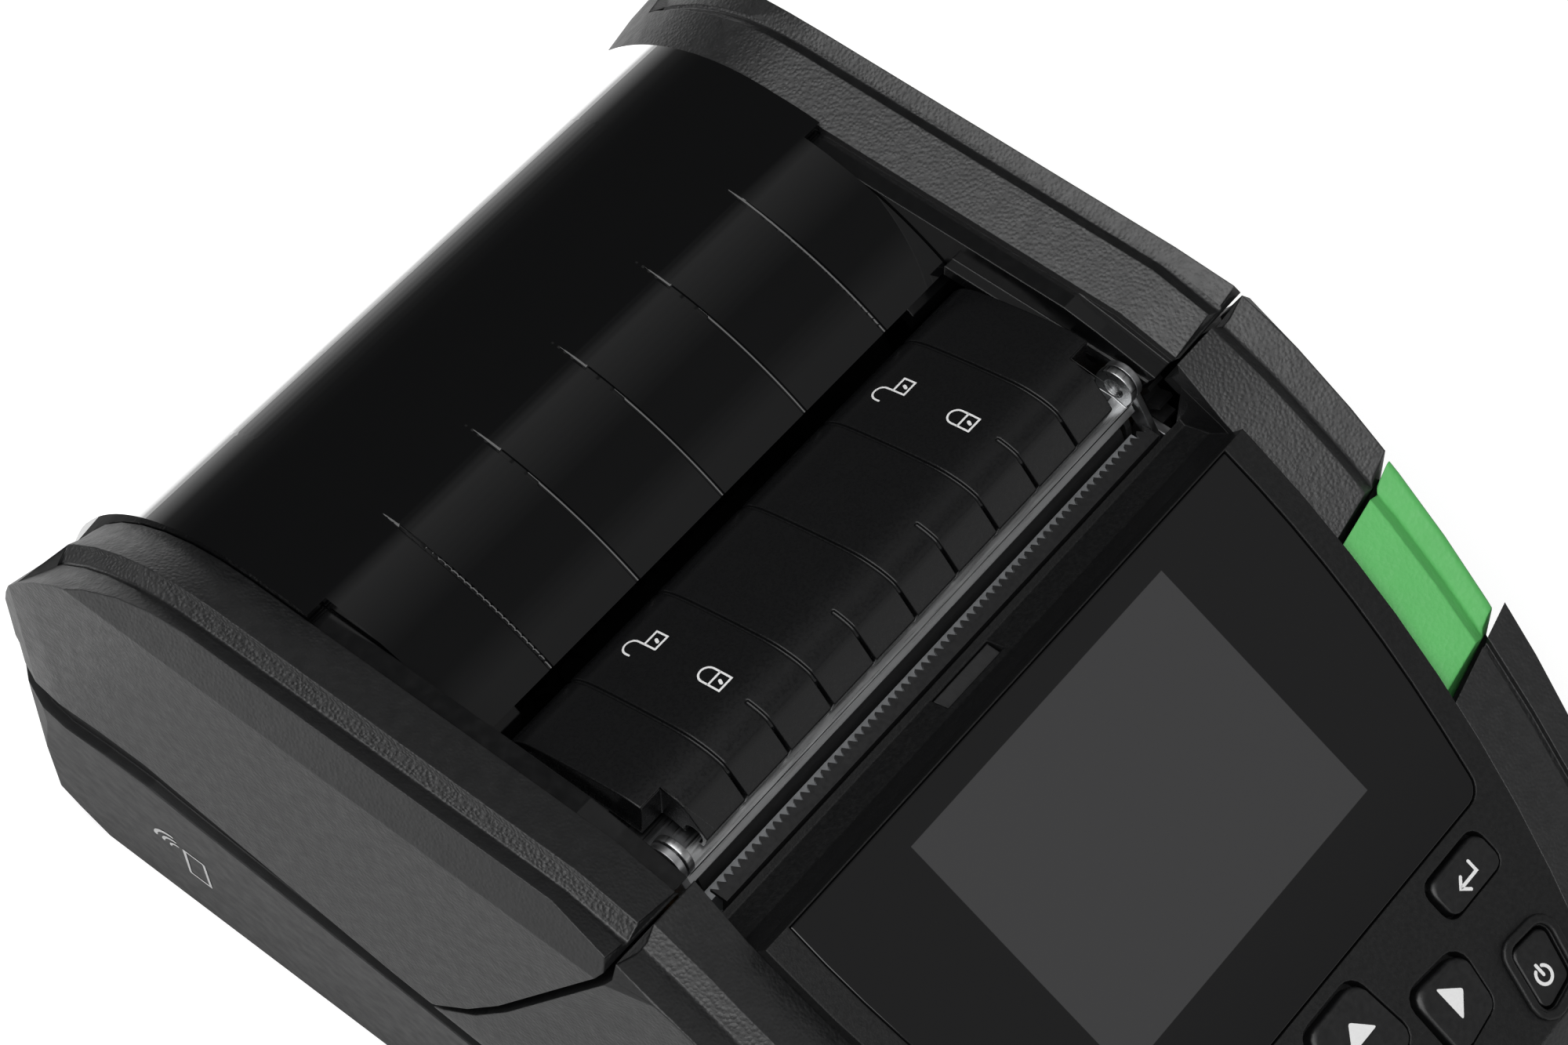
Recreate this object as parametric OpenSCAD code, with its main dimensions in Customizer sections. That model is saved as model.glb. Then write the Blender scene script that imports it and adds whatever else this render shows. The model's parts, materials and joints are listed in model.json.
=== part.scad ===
// Rugged portable label printer for 80 mm media, lying on its flat bottom.
// X runs to the reader's right, Y from the front end to the roll cover, Z up.
// The origin is the centre of the body's footprint, on the surface it lies on.

/* [Body] */
// Width of the rim from the deck's edge to the side
rim_w = 14.8; // [13:0.1:17]
// Length of the roll cover
cover_l = 104.8; // [100:0.1:112]
// Length of the valley between the deck and the cover
valley_l = 10.5; // [9.5:0.1:12]
// Overall height
body_h = 82; // [80:0.5:92]
// How much each side wall draws in towards the bottom
side_draft = 5.8; // [4:0.1:7]
// Height up to which the side walls draw in
draft_h = 40; // [34:1:44]
// Wall of the base shell
base_wall = 3.2; // [2.6:0.1:3.6]
// Wall of the top housing and of the cover frame
shell_wall = 2.2; // [1.8:0.1:2.6]
// Thickness of the bumpers and cheeks over the housing
bumper_t = 3; // [2.6:0.1:3.4]
// Radius in plan of the front corners
front_corner_r = 14; // [10:0.5:16]
// Radius in plan of the rear corners
rear_corner_r = 18; // [14:0.5:20]
// Radius in plan of the long side curve towards the front
side_curve_r = 130; // [120:1:150]
// Height of the split between base and top at the front end
split_front_z = 21.3; // [20:0.1:23]
// Rise of the split line towards the rear, per millimetre
split_rise = 0.16; // [0.14:0.005:0.17]
// Height of the recessed band under the split
band_h = 5; // [3:0.5:6]
// Depth of the recessed band
band_depth = 1.4; // [0.8:0.1:1.6]
// Visible seam between the cover and the rest
seam = 1.2; // [0.8:0.1:1.6]

/* [Deck and display] */
// Tilt of the deck down to the front, degrees
deck_tilt = 28.3; // [27:0.1:29]
// Visible picture width
picture_w = 46.7; // [42:0.1:50]
// Visible picture height
picture_h = 35; // [30:0.1:38]
// Width of the surround between the lens and the bumpers
surround_w = 3.7; // [3:0.1:5]
// Length of the lens from its top edge to its bottom edge
lens_l = 49.6; // [46:0.1:50]
// Thickness of the lens
lens_t = 1.2; // [0.8:0.1:1.6]
// Thickness of the display module under the lens
display_t = 4.1; // [3:0.1:5]
// Fit gap round the lens and the keys
panel_gap = 0.35; // [0.3:0.05:0.5]

/* [Keys] */
// Length of the deck below the lens, where the keys are
keypad_l = 24.45; // [22:0.05:27]
// Travel of a key
key_travel = 0.8; // [0.5:0.05:1]
// Reach past its opening of the flange that keeps a key in
key_flange = 0.34; // [0.3:0.02:0.4]
// Thickness of the rubber mat under the keys
mat_t = 0.8; // [0.6:0.1:1.2]
// Thickness of the circuit boards
board_t = 1.6; // [1.2:0.1:2]

/* [Bumpers] */
// Deck past each end of the tear bar
deck_margin = 4; // [3.6:0.1:4.6]
// Distance of the groove from the deck's edge
groove_off = 8; // [6:0.1:9]
// Width of the groove
groove_w = 1.2; // [0.8:0.1:1.6]
// Depth of the groove
groove_d = 1; // [0.6:0.1:1.4]
// Length of the rear bumper segment, up to the coloured accent
segment_l = 26.3; // [24:0.1:30]
// Length of the coloured accent along the body
accent_l = 18.6; // [14:0.1:20]
// Gap between bumper segments
segment_gap = 0.8; // [0.5:0.1:1.2]

/* [Printing] */
// Length of the tear bar
tear_l = 80.4; // [78:0.1:81]
// Number of teeth on the tear bar
tear_teeth = 66; // [40:1:70]
// Radius of the platen roller
roller_r = 5.2; // [4.8:0.1:5.4]
// Height of the platen axis below the top of the body
roller_drop = 16; // [15.5:0.1:16.5]
// Radius of the platen shaft
shaft_r = 2.5; // [2:0.1:2.8]
// Outer radius of the platen bearings
bearing_r = 3.5; // [3.3:0.1:3.7]
// Running clearance of the shafts and pins, radial
run_gap = 0.05; // [0.02:0.01:0.08]
// Room for one label between the head and the platen
label_gap = 0.3; // [0.3:0.05:0.4]
// Gear module
gear_m = 0.8; // [0.8:0.05:0.85]
// Teeth of the platen gear
platen_teeth = 16; // [16:1:17]
// Teeth of the idler gear
idler_teeth = 22; // [20:1:22]
// Teeth of the motor pinion
pinion_teeth = 12; // [12:1:13]
// Face width of the gears
gear_w = 2.6; // [2:0.1:3]

/* [Media bay] */
// Radius of the guide discs
guide_r = 20; // [16:0.5:24]
// Radius of the hub that carries the roll's core
hub_r = 6; // [5:0.1:8]

/* [Battery and ports] */
// Depth of the battery pack along the body
battery_d = 46; // [40:0.5:47]
// Height of the battery pack
battery_h = 16; // [13:0.5:16.5]
// Length of the battery pack inside the body, from the middle to the left
battery_in = 32; // [26:0.5:33]
// Length of the port flap
flap_l = 35; // [28:0.5:38]
// Height of the port flap
flap_h = 16; // [12:0.5:17]
// Thickness of the port flap
flap_t = 1.8; // [1.4:0.1:2.4]

/* [Hinge and latch] */
// Radius of the hinge pin
pin_r = 1.5; // [1.3:0.05:1.7]
// Radius of the hinge knuckles
knuckle_r = 4; // [3.6:0.1:4.1]
// Width of one cover knuckle
knuckle_w = 14; // [10:0.5:16]
// Radius of the lever's pivot pins
lever_pin_r = 1.25; // [1.1:0.05:1.4]
// Spacing of the long grooves on the lever and the window
rib_pitch = 15.25; // [14:0.05:16]
// Radius of the mounting screws' tapped holes
mount_r = 1.65; // [1.4:0.05:2]
// Spacing of the mounting screws
mount_pitch = 30; // [24:0.5:34]

/* [Hidden] */
$fn = 40;

// Colours of the photographed finishes
charcoal = "#2b2c2e";
black = "#17181a";
gloss_black = "#0c0c0e";
accent_green = "#4cbb55";
steel = "#9a9c9e";
rubber = "#202124";
board_green = "#1d5a38";
brass = "#b99a55";
white = "#e8e8e6";

// Widths build up from the tear bar, lengths from the deck, the valley and the cover
deck_half = tear_l / 2 + deck_margin;
lens_half = deck_half - surround_w;
half_w = deck_half + rim_w;
nose_l = 3.5;
body_l = (lens_l + keypad_l) * cos(deck_tilt) + nose_l + valley_l + cover_l;
front_y = -body_l / 2;
rear_y = body_l / 2;
far = 300;
face_gap = 0.3;

// Where the cover ends at the top, and the deck's upper edge
part_y = rear_y - cover_l;
deck_top_y = part_y - valley_l;
deck_top_z = body_h - 6.6;

// The deck's plane: the picture plane lies 0.8 mm under it
deck_lift = 0.8;
lens_top = picture_h / 2 + 4;
lens_edge = 0.17;
display_y = deck_top_y - (lens_top + lens_edge) * cos(deck_tilt) + deck_lift * sin(deck_tilt);
display_z = deck_top_z + (display_y - deck_top_y) * tan(deck_tilt) - deck_lift / cos(deck_tilt);
function deck_z(y) = deck_top_z + (y - deck_top_y) * tan(deck_tilt);
function split_z(y) = split_front_z + split_rise * (y - front_y);

// Vector and outline helpers
function unit(v) = v / norm(v);
function side(v) = [-v.y, v.x];
function arc(c, r, a0, a1, n = 8) =
  [for (i = [0:n]) c + r * [cos(a0 + (a1 - a0) * i / n), sin(a0 + (a1 - a0) * i / n)]];
function reversed(p) = [for (i = [len(p) - 1:-1:0]) p[i]];
function smooth(p, n = 4) = let (last = len(p) - 1, at = function(i) i < 0 ? 2 * p[0] - p[1]
  : i > last ? 2 * p[last] - p[last - 1] : p[i]) concat([for (i = [0:last - 1]) for (k = [0:n - 1])
  let (t = k / n, a = at(i - 1), b = p[i], c = p[i + 1], d = at(i + 2))
  (2 * b + (c - a) * t + (2 * a - 5 * b + 4 * c - d) * t * t + (3 * b - a - 3 * c + d) * t * t * t) / 2],
  [p[last]]);
function flipped(p) = [for (q = reversed(p)) [-q.x, q.y]];
// Moves each edge of an anticlockwise outline inwards by d
function inset(p, d) = let (n = len(p)) [for (i = [0:n - 1])
  let (b = p[i], u = unit(b - p[(i + n - 1) % n]), v = unit(p[(i + 1) % n] - b),
    m = side(u) + side(v)) b + m * d / (m * side(u))];
// Rounds each corner of an outline with radius r
function rounded(p, r, n = 4) = let (k = len(p)) [for (i = [0:k - 1])
  let (b = p[i], u = unit(p[(i + k - 1) % k] - b), v = unit(p[(i + 1) % k] - b),
    half = acos(u * v) / 2, c = b + unit(u + v) * r / sin(half),
    s = b + u * r / tan(half) - c, turn = (u.x * v.y - u.y * v.x < 0 ? 1 : -1) * (180 - 2 * half),
    a = atan2(s.y, s.x)) each arc(c, r, a, a + turn, n)];

// Extrudes a YZ outline along X
module along_x(x0, x1) { translate([x0, 0, 0]) rotate([90, 0, 90]) linear_extrude(x1 - x0) children(); }
// The same on both sides
module both_sides(x0, x1) { along_x(x0, x1) children(); along_x(-x1, -x0) children(); }
module mirrored() { children(); mirror([1, 0, 0]) children(); }
module box(lo, hi) { translate(lo) cube(hi - lo); }
module rod_x(y, z, r, x0, x1) { translate([x0, y, z]) rotate([0, 90, 0]) cylinder(r = r, h = x1 - x0); }
module deck() { translate([0, display_y, display_z]) rotate([deck_tilt, 0, 0]) children(); }

// Side profile of the whole body
wall_lean = 22.6;
rear_low = [rear_y - 38, 28];
rear_low_r = 38;
rear_top_r = 34.4;
rear_top_z = body_h - rear_top_r;
rear_top = [rear_low.x + ((rear_low.y - rear_top_z) * sin(wall_lean) + rear_low_r - rear_top_r)
  / cos(wall_lean), rear_top_z];
function body_profile() = concat(
  [[front_y + 7, 2], [front_y + 11, 0]],
  arc(rear_low, rear_low_r, -asin(rear_low.y / rear_low_r), wall_lean),
  arc(rear_top, rear_top_r, wall_lean, 90),
  [[part_y + 8.8, body_h], [part_y, body_h - 2], [deck_top_y + 1.8, deck_z(deck_top_y + 1.8)],
  [front_y + nose_l, deck_z(front_y + nose_l)], [front_y, deck_z(front_y + nose_l) - 4],
  [front_y, deck_z(front_y + nose_l) - 8], [front_y + 4, 8]]);

// Plan of an outline with a gently narrowing front
function plan(half, curve_r, curve_y, front, corner_r, rear, rear_r) = let (
  phi = asin((curve_y - front - corner_r) / (curve_r - corner_r)),
  centre = [half - curve_r, curve_y],
  corner = centre + (curve_r - corner_r) * [cos(phi), -sin(phi)],
  right = concat(arc(corner, corner_r, -90, -phi - 4, 5), arc(centre, curve_r, -phi, 0, 8),
    rear_r > 0 ? arc([half - rear_r, rear - rear_r], rear_r, 0, 90, 6) : [[half, rear]]))
  concat(right, flipped(right));
curve_y = part_y - 9.2;
body_plan = plan(half_w, side_curve_r, curve_y, front_y, front_corner_r, rear_y, rear_corner_r);
deck_plan = plan(deck_half, side_curve_r + 10, curve_y - 3, front_y + nose_l, 6, far, 0);

// Cross-section of the body: drafted below, its upper edges eased
top_ease = 2.4;
section_right = [[half_w - side_draft, 0], [half_w, draft_h], [half_w, body_h - 2 * top_ease],
  [half_w - top_ease, body_h + 0.01]];
body_section = concat(section_right, flipped(section_right));

// The body's outer form, drawn in by d on every side
module form(d = 0) {
  intersection() {
    along_x(-half_w, half_w) polygon(inset(body_profile(), d));
    linear_extrude(body_h + 1) polygon(inset(body_plan, d));
    translate([0, rear_y, 0]) rotate([90, 0, 0]) linear_extrude(body_l)
      polygon(inset(body_section, d));
  }
}
module shell(d, t) { difference() { form(d); form(d + t); } }

// Regions of the side view: cover, upper front and base
split_end = rear_y - 32;
rear_lip_y = rear_y - 9.5;
rear_lip_z = split_z(split_end) + 2.88;
part_end = [part_y + 27.6, split_z(part_y + 27.6)];
split_line = [[split_end, split_z(split_end)], [split_end + 7.5, split_z(split_end) - 0.1],
  [split_end + 16, split_z(split_end) - 0.9], [rear_lip_y, split_z(split_end) - 1.6]];
part_line = [[part_y, body_h - 2], [part_y - 0.5, body_h - 3.7], [part_y + 8.1, body_h - 17.5],
  [part_y + 15.9, body_h - 30], part_end + [-6.5, 6.61], part_end];
base_lip_z = split_z(split_end) - 4.12;
cover_region = concat([[part_y, far]], part_line, split_line,
  [[rear_lip_y, rear_lip_z], [far, rear_lip_z], [far, far]]);
front_region = concat([[part_y, far], [-far, far], [-far, split_z(-far)]], reversed(part_line));
base_region = concat([[-far, -1], [far, -1], [far, base_lip_z], [rear_y - 4, base_lip_z],
  [rear_y - 5, split_z(split_end) - 2.6]], reversed(split_line), [[-far, split_z(-far)]]);
module cover_zone() { along_x(-half_w, half_w) polygon(inset(cover_region, seam / 2)); }
module front_zone() { along_x(-half_w, half_w) polygon(inset_at_cover(front_region)); }
module base_zone(d = 0) { along_x(-half_w, half_w) translate([0, -d]) polygon(base_region); }
// Draws in only the edges that face the cover
function inset_at_cover(p) = [for (q = p) abs(q.x) == far || q == part_end ? q
  : q - [seam / 2, 0]];

// Gap between the battery and its bay, and the floor that carries the pieces
floor_z = base_wall;
bay_gap = 0.35;
battery_y0 = front_y + 26;
battery_z0 = floor_z + 0.3;
module battery_box(g) {
  box([-battery_in - g, battery_y0 - g, battery_z0 - g],
    [far, battery_y0 + battery_d + g, battery_z0 + battery_h + g]);
}

// Screws that hold the top housing on the base: [x, y, top of the boss]
front_screw = [26, front_y + 12, split_z(front_y + 12) + 8];
rear_screw = [half_w - 10.5, part_y - 1.2, split_z(part_y - 1.2) + 6.7];
boss_r = 3.5;
screw_r = 1.5;
screw_head_r = 2.75;
module at_screws() {
  for (s = [front_screw, rear_screw], m = [-1, 1]) translate([m * s.x, s.y, 0]) children();
}

hinge_y = rear_y - 6;
hinge_z = split_z(split_end) - 6.62;
// Inner and outer ends of the cover's knuckles
knuckle_x0 = 26;
knuckle_x1 = knuckle_x0 + knuckle_w;
knuckle_slack = 0.4;
base_knuckle_w = 8;

// Port flap and the window that it closes
flap_y0 = part_y + 17.8;
flap_z0 = 8;
module flap_box(g) {
  box([half_w - 10, flap_y0 - g, flap_z0 - g], [half_w + 1, flap_y0 + flap_l + g, flap_z0 + flap_h + g]);
}

mount_y = part_y - 0.2;
mount_boss_r = mount_r + 2.3;
mount_depth = 7;
mount_boss_h = mount_depth + 1.5;

latch_x0 = 30;
latch_w = 8;
latch_y = battery_y0 + battery_d;
latch_l = 9.6;
latch_h = 4;

// Lower half of the case: tray, battery bay, media bay floor, screw posts and hinge knuckles
module base_shell() {
  color(charcoal) difference() {
    union() {
      difference() {
        union() {
          intersection() { form(0); base_zone(band_h); }
          intersection() { form(band_depth); base_zone(); }
        }
        form(base_wall);
      }
      intersection() {
        form(band_depth + 0.4);
        union() {
          difference() {
            box([-battery_in - 2, battery_y0 - 1.8, 1],
              [half_w, battery_y0 + battery_d + 1.8, battery_z0 + battery_h + 1.9]);
            battery_box(bay_gap);
          }
          at_screws() cylinder(r = boss_r, h = split_z(front_y + 12) - 4);
          mirrored() translate([rear_screw.x, rear_screw.y, 0])
            cylinder(r = boss_r, h = split_z(rear_screw.y) - 0.3);
          mirrored() translate([mount_pitch / 2, mount_y, 0]) cylinder(r = mount_boss_r, h = mount_boss_h);
          for (x = [-battery_in + 4, 30], y = [battery_y0 + 3, battery_y0 + battery_d - 5])
            translate([x, y, battery_z0 + battery_h + 1])
              cylinder(r = 2.5, h = board_z - battery_z0 - battery_h - 1);
          translate([0, roll_y, 0]) cylinder(r = pinion_post_r, h = floor_z + 6);
        }
      }
      mirrored() {
        rod_x(hinge_y, hinge_z, knuckle_r, knuckle_x0 - knuckle_slack - base_knuckle_w,
          knuckle_x0 - knuckle_slack);
        rod_x(hinge_y, hinge_z, knuckle_r, knuckle_x1 + knuckle_slack,
          knuckle_x1 + knuckle_slack + base_knuckle_w);
      }
    }
    battery_box(bay_gap);
    flap_box(bay_gap);
    at_screws() {
      translate([0, 0, -1]) cylinder(r = screw_r + 0.1, h = far);
      translate([0, 0, -1]) cylinder(r = screw_head_r + 0.3, h = 4);
    }
    mirrored() {
      box([knuckle_x0 - knuckle_slack, hinge_y - knuckle_r - 0.5, hinge_z - knuckle_r - 0.5],
        [knuckle_x1 + knuckle_slack, far, far]);
      translate([mount_pitch / 2, mount_y, -1]) cylinder(r = mount_r, h = mount_depth + 1);
    }
    rod_x(hinge_y, hinge_z, pin_r + 0.01, -half_w + 6, half_w - 6);
    rod_x(hinge_y, hinge_z, hinge_coil_r + face_gap, -spring_half - face_gap, spring_half + face_gap);
    box([latch_x0 - bay_gap, latch_y - 0.6, -1],
      [latch_x0 + latch_w + bay_gap, latch_y + latch_l + latch_throw + bay_gap, floor_z + 1]);
    box([latch_x0 - bay_gap, latch_y - 0.6, 0], [latch_x0 + latch_w + bay_gap, latch_y + 3, floor_z + latch_h]);
  }
}

// Openings of the keys, seen square on: drawn on a field below the lens that is stretched
// to the deck's width and to the length of the keypad
key_field = [44.2, 24.45];
function on_deck(p) = [for (q = p)
  [q.x * deck_half / key_field.x, q.y * keypad_l / key_field.y + lens_top - lens_l]];
up_key = rounded(on_deck([[-6.3, -12.4], [6.3, -12.4], [5.4, -1.5], [-5.4, -1.5]]), 2.4);
down_key = rounded(on_deck([[-5.6, -22.5], [5.6, -22.5], [6.4, -14.1], [-6.4, -14.1]]), 2.4);
right_key = rounded(on_deck([[7.6, -18.5], [16.6, -17.3], [18.3, -8.9], [7.9, -7.9]]), 2.4);
enter_key = rounded(on_deck([[19.2, -7.4], [30.4, -7.4], [30.4, -1.5], [19.2, -1.5]]), 1.9);
power_key = rounded(on_deck([[19.8, -23.1], [26.4, -22.1], [28.6, -15], [22, -14.4]]), 1.5);
left_key = flipped(right_key);
menu_key = flipped(enter_key);
feed_key = flipped(power_key);
keys = [up_key, down_key, right_key, left_key, enter_key, menu_key, power_key, feed_key];

plate_bottom = deck_lift - shell_wall;
flange_top = plate_bottom - 0.2;
flange_t = 0.7;
mat_top = flange_top - flange_t - key_travel - 0.2;
module key(outline) {
  color(rubber) deck() {
    translate([0, 0, flange_top - 0.01]) linear_extrude(deck_lift - flange_top)
      polygon(inset(outline, panel_gap));
    translate([0, 0, flange_top - flange_t]) linear_extrude(flange_t)
      polygon(inset(outline, -key_flange));
  }
}
module key_up() { key(up_key); }
module key_left() { key(left_key); }
module key_right() { key(right_key); }
module key_down() { key(down_key); }
module key_enter() { key(enter_key); }
module key_menu() { key(menu_key); }
module key_power() { key(power_key); }
module key_feed() { key(feed_key); }

// Raised ring round the power key
ring_w = 1.3;
module power_ring() {
  color(black) deck() translate([0, 0, deck_lift]) linear_extrude(0.7) difference() {
    polygon(inset(power_key, -ring_w));
    polygon(inset(power_key, -0.1));
  }
}

key_area = on_deck([[-24, -23.5], [24, -23.5], [31, -11.9], [32, -0.8], [-32, -0.8], [-31, -11.9]]);
module keypad_mat() {
  color(rubber) deck() translate([0, 0, mat_top - mat_t]) linear_extrude(mat_t)
    polygon(key_area);
}
module keypad_board() {
  color(board_green) deck() translate([0, 0, mat_top - mat_t - board_t]) linear_extrude(board_t)
    polygon(inset(key_area, 1));
}

// Lens outline: straight top edge, bowed sides, rounded lower corners
lens_bow = 0.003;
function lens_x(s) = lens_half - lens_bow * pow(lens_top - 3.5 - s, 2);
lens_right = concat([[0, lens_top - lens_l]],
  arc([lens_x(lens_top - lens_l + 3) - 3, lens_top - lens_l + 3], 3, -90, -8, 5),
  [for (i = [1:8]) let (s = lens_top - lens_l + 3 + (lens_l - 3) * i / 8) [lens_x(s), s]]);
lens_outline = concat(lens_right, [for (q = flipped(lens_right)) if (q.x < 0) q]);
lens_seat = deck_lift - 0.1 - lens_t;
module display_lens() {
  color(gloss_black) deck() translate([0, 0, lens_seat]) linear_extrude(lens_t)
    polygon(inset(lens_outline, 0.15));
}
module display_module() {
  color("#3c3d3f") deck() translate([0, 0, lens_seat - display_t])
    linear_extrude(display_t) square([picture_w + 8, picture_h + 6], center = true);
}

// Glossy valley between the deck and the tear bar
lip_y = part_y - 2;
lip_z = body_h - 12;
valley_curve = [[deck_top_y, deck_top_z], [deck_top_y + 1.6, deck_top_z - 2.3],
  [deck_top_y + 4.2, deck_top_z - 4.6], [lip_y - 0.8, lip_z - 0.5], [lip_y, lip_z]];
valley_t = 1.6;
well_half = deck_half + 0.4;

// Upper front of the case: deck, valley, side walls and screw bosses
module top_housing() {
  color(black) difference() {
    union() {
      difference() {
        intersection() {
          union() {
            form(bumper_t);
            intersection() { form(0); linear_extrude(far) polygon(deck_plan); }
          }
          front_zone();
        }
        form(bumper_t + shell_wall);
        intersection() {
          form(shell_wall);
          linear_extrude(far) polygon(inset(deck_plan, shell_wall));
        }
        along_x(-well_half, well_half) polygon(concat(valley_curve, [[lip_y, 0], [far, 0], [far, far],
          [deck_top_y, far]]));
      }
      along_x(-deck_half, deck_half) polygon(concat(valley_curve,
        [[lip_y, lip_z - valley_t], [lip_y - 1.6, lip_z - valley_t - 0.6],
        [deck_top_y + 4, deck_top_z - 7.2], [deck_top_y, deck_top_z - 3.4]]));
      intersection() {
        form(bumper_t);
        both_sides(deck_half - 0.01, well_half + 1.8) polygon([[deck_top_y - 0.5, body_h - 20],
          [part_y - 1.6, body_h - 20], [part_y - 1.6, far], [deck_top_y - 0.5, far]]);
      }
      intersection() {
        form(bumper_t + 0.4);
        union() {
          mirrored() {
            translate([front_screw.x, front_screw.y, split_z(front_screw.y) - 3.6])
              cylinder(r = boss_r, h = 12);
            box([front_screw.x - 1, front_y, split_z(front_screw.y)],
              [front_screw.x + 1, front_screw.y - 2, front_screw.z]);
            translate([rear_screw.x, rear_screw.y, split_z(rear_screw.y)])
              cylinder(r = boss_r, h = rear_screw.z - split_z(rear_screw.y));
            box([rear_screw.x + 1, rear_screw.y - 1, split_z(rear_screw.y) + 0.4],
              [half_w, rear_screw.y + 1, rear_screw.z]);
          }
        }
      }
    }
    deck() {
      translate([0, 0, lens_seat]) linear_extrude(5) polygon(lens_outline);
      translate([0, 0, -5]) linear_extrude(10) square([picture_w + 8.4, picture_h + 6.4], center = true);
      for (k = keys) translate([0, 0, -5]) linear_extrude(10) polygon(k);
    }
    translate([0, sensor_y, lip_z - 4]) linear_extrude(8) square([10.4, 2.4], center = true);
    at_screws() translate([0, 0, -1]) cylinder(r = screw_r + 0.1, h = split_z(rear_screw.y) + 5);
  }
}

// Bumpers: the outer skin over the housing, cut into segments
accent_y1 = part_y - segment_l;
accent_y0 = accent_y1 - accent_l;
gap_slope = 0.2;
module bumper_skin() {
  difference() {
    intersection() { shell(0, bumper_t); front_zone(); }
    linear_extrude(far) polygon(deck_plan);
    difference() {
      linear_extrude(far) difference() {
        polygon(inset(deck_plan, -groove_off - groove_w / 2));
        polygon(inset(deck_plan, -groove_off + groove_w / 2));
      }
      form(groove_d);
    }
  }
}
// Plan of what lies between two slanted cuts on the right-hand side
module between(y0, y1) {
  x1 = half_w + 1;
  linear_extrude(far) polygon([[0, y0 - gap_slope * deck_half], [x1, y0 + gap_slope * (x1 - deck_half)],
    [x1, y1 + gap_slope * (x1 - deck_half)], [0, y1 - gap_slope * deck_half]]);
}
module bumper_side() {
  intersection() { bumper_skin(); between(accent_y1 + segment_gap / 2, part_y + 60); }
}
module accent_side() {
  intersection() { bumper_skin(); between(accent_y0 + segment_gap / 2, accent_y1 - segment_gap / 2); }
}
module bumper_right() { color(charcoal) bumper_side(); }
module bumper_left() { color(charcoal) mirror([1, 0, 0]) bumper_side(); }
module accent_right() { color(accent_green) accent_side(); }
module accent_left() { color(accent_green) mirror([1, 0, 0]) accent_side(); }
module bumper_front() {
  color(charcoal) intersection() {
    bumper_skin();
    mirrored() between(front_y - 60, accent_y0 - segment_gap / 2);
  }
}

// Platen, bracket and lever pivot
platen_y = part_y + 7.4;
platen_z = body_h - roller_drop;
pivot_y = platen_y - 2.2;
pivot_z = body_h - 8;
ear_x0 = tear_l / 2 + 0.1;
ear_x1 = ear_x0 + 1;
plate_x0 = ear_x1 + 1.5;
plate_x1 = plate_x0 + 1.2;
gear_x0 = plate_x1 + 0.4;
gear_x1 = gear_x0 + gear_w;
head_face_y = platen_y - roller_r - label_gap;
// The way that the platen lifts out: square to the line from the hinge
lift = unit([platen_z - hinge_z, hinge_y - platen_y]);
lift_angle = atan2(lift.y, lift.x);
mesh_slack = 0.12;
idler_at = [platen_y, platen_z] - lift * (gear_m * (platen_teeth + idler_teeth) / 2 + mesh_slack);
motor_dir = -62;
motor_at = idler_at + (gear_m * (idler_teeth + pinion_teeth) / 2 + mesh_slack)
  * [cos(motor_dir), sin(motor_dir)];

module tear_bar() {
  color(steel) {
    difference() {
      box([-tear_l / 2, lip_y + 0.2, lip_z + 0.2], [tear_l / 2, lip_y + 2.6, lip_z + 0.8]);
      for (i = [0:tear_teeth - 1]) let (p = tear_l / tear_teeth)
        translate([-tear_l / 2 + p * (i + 0.5), lip_y + 1.7, lip_z]) linear_extrude(2)
          polygon([[0, 0], [p / 2, 1], [-p / 2, 1]]);
    }
    box([-tear_l / 2, lip_y + 0.2, lip_z - 4], [tear_l / 2, lip_y + 0.8, lip_z + 0.2]);
  }
}

// Steel chassis: side plates, cross members, the wall in front of the media bay
head_pin_y = part_y - 1.2;
head_pin_z = platen_z - 18;
chassis_front = deck_top_y - 3.7;
chassis_rear = part_y + 22.8;
chassis_z = 26;
bar_top = lip_z - 2.8;
spring_back = chassis_front + 1.4;
module print_chassis() {
  color(steel) difference() {
    union() {
      both_sides(plate_x0, plate_x1) polygon([[lip_y - 3, floor_z], [chassis_rear, floor_z],
        [chassis_rear, 44], [platen_y + 6.8, platen_z - 10], [platen_y + 6.8, platen_z + 1.5],
        [lip_y + 0.9, platen_z + 1.5], [lip_y - 4.2, lip_z - 3], [chassis_front, platen_z - 2],
        [chassis_front, chassis_z], [lip_y - 3, chassis_z]]);
      box([-plate_x1, lip_y - 4.2, bar_top - 2.4], [plate_x1, lip_y + 0.2, bar_top]);
      box([-plate_x1, chassis_front, platen_z - 14], [plate_x1, spring_back, platen_z - 2]);
      box([-plate_x1, chassis_rear - 1.6, floor_z], [plate_x1, chassis_rear, 44]);
      box([-plate_x1, platen_y - 1.6, floor_z], [plate_x1, chassis_rear, floor_z + 1.4]);
      mirrored() rod_x(platen_y - 9.8, platen_z - 5.5, 1.4, plate_x0 - 1.35, plate_x0);
    }
    both_sides(plate_x0 - 1, plate_x1 + 1) union() {
      translate([platen_y, platen_z]) circle(bearing_r + face_gap + 0.2);
      translate([platen_y, platen_z]) rotate(lift_angle - 90)
        translate([-bearing_r - face_gap, 0]) square([2 * (bearing_r + face_gap), 20]);
    }
    rod_x(head_pin_y, head_pin_z, pin_r + 0.01, -far, far);
    rod_x(idler_at.x, idler_at.y, pin_r + 0.01, plate_x0 - 1, plate_x1 + 1);
    rod_x(motor_at.x, motor_at.y, motor_boss_r + 0.02, plate_x0 - 1, plate_x1 + 1);
  }
}

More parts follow.
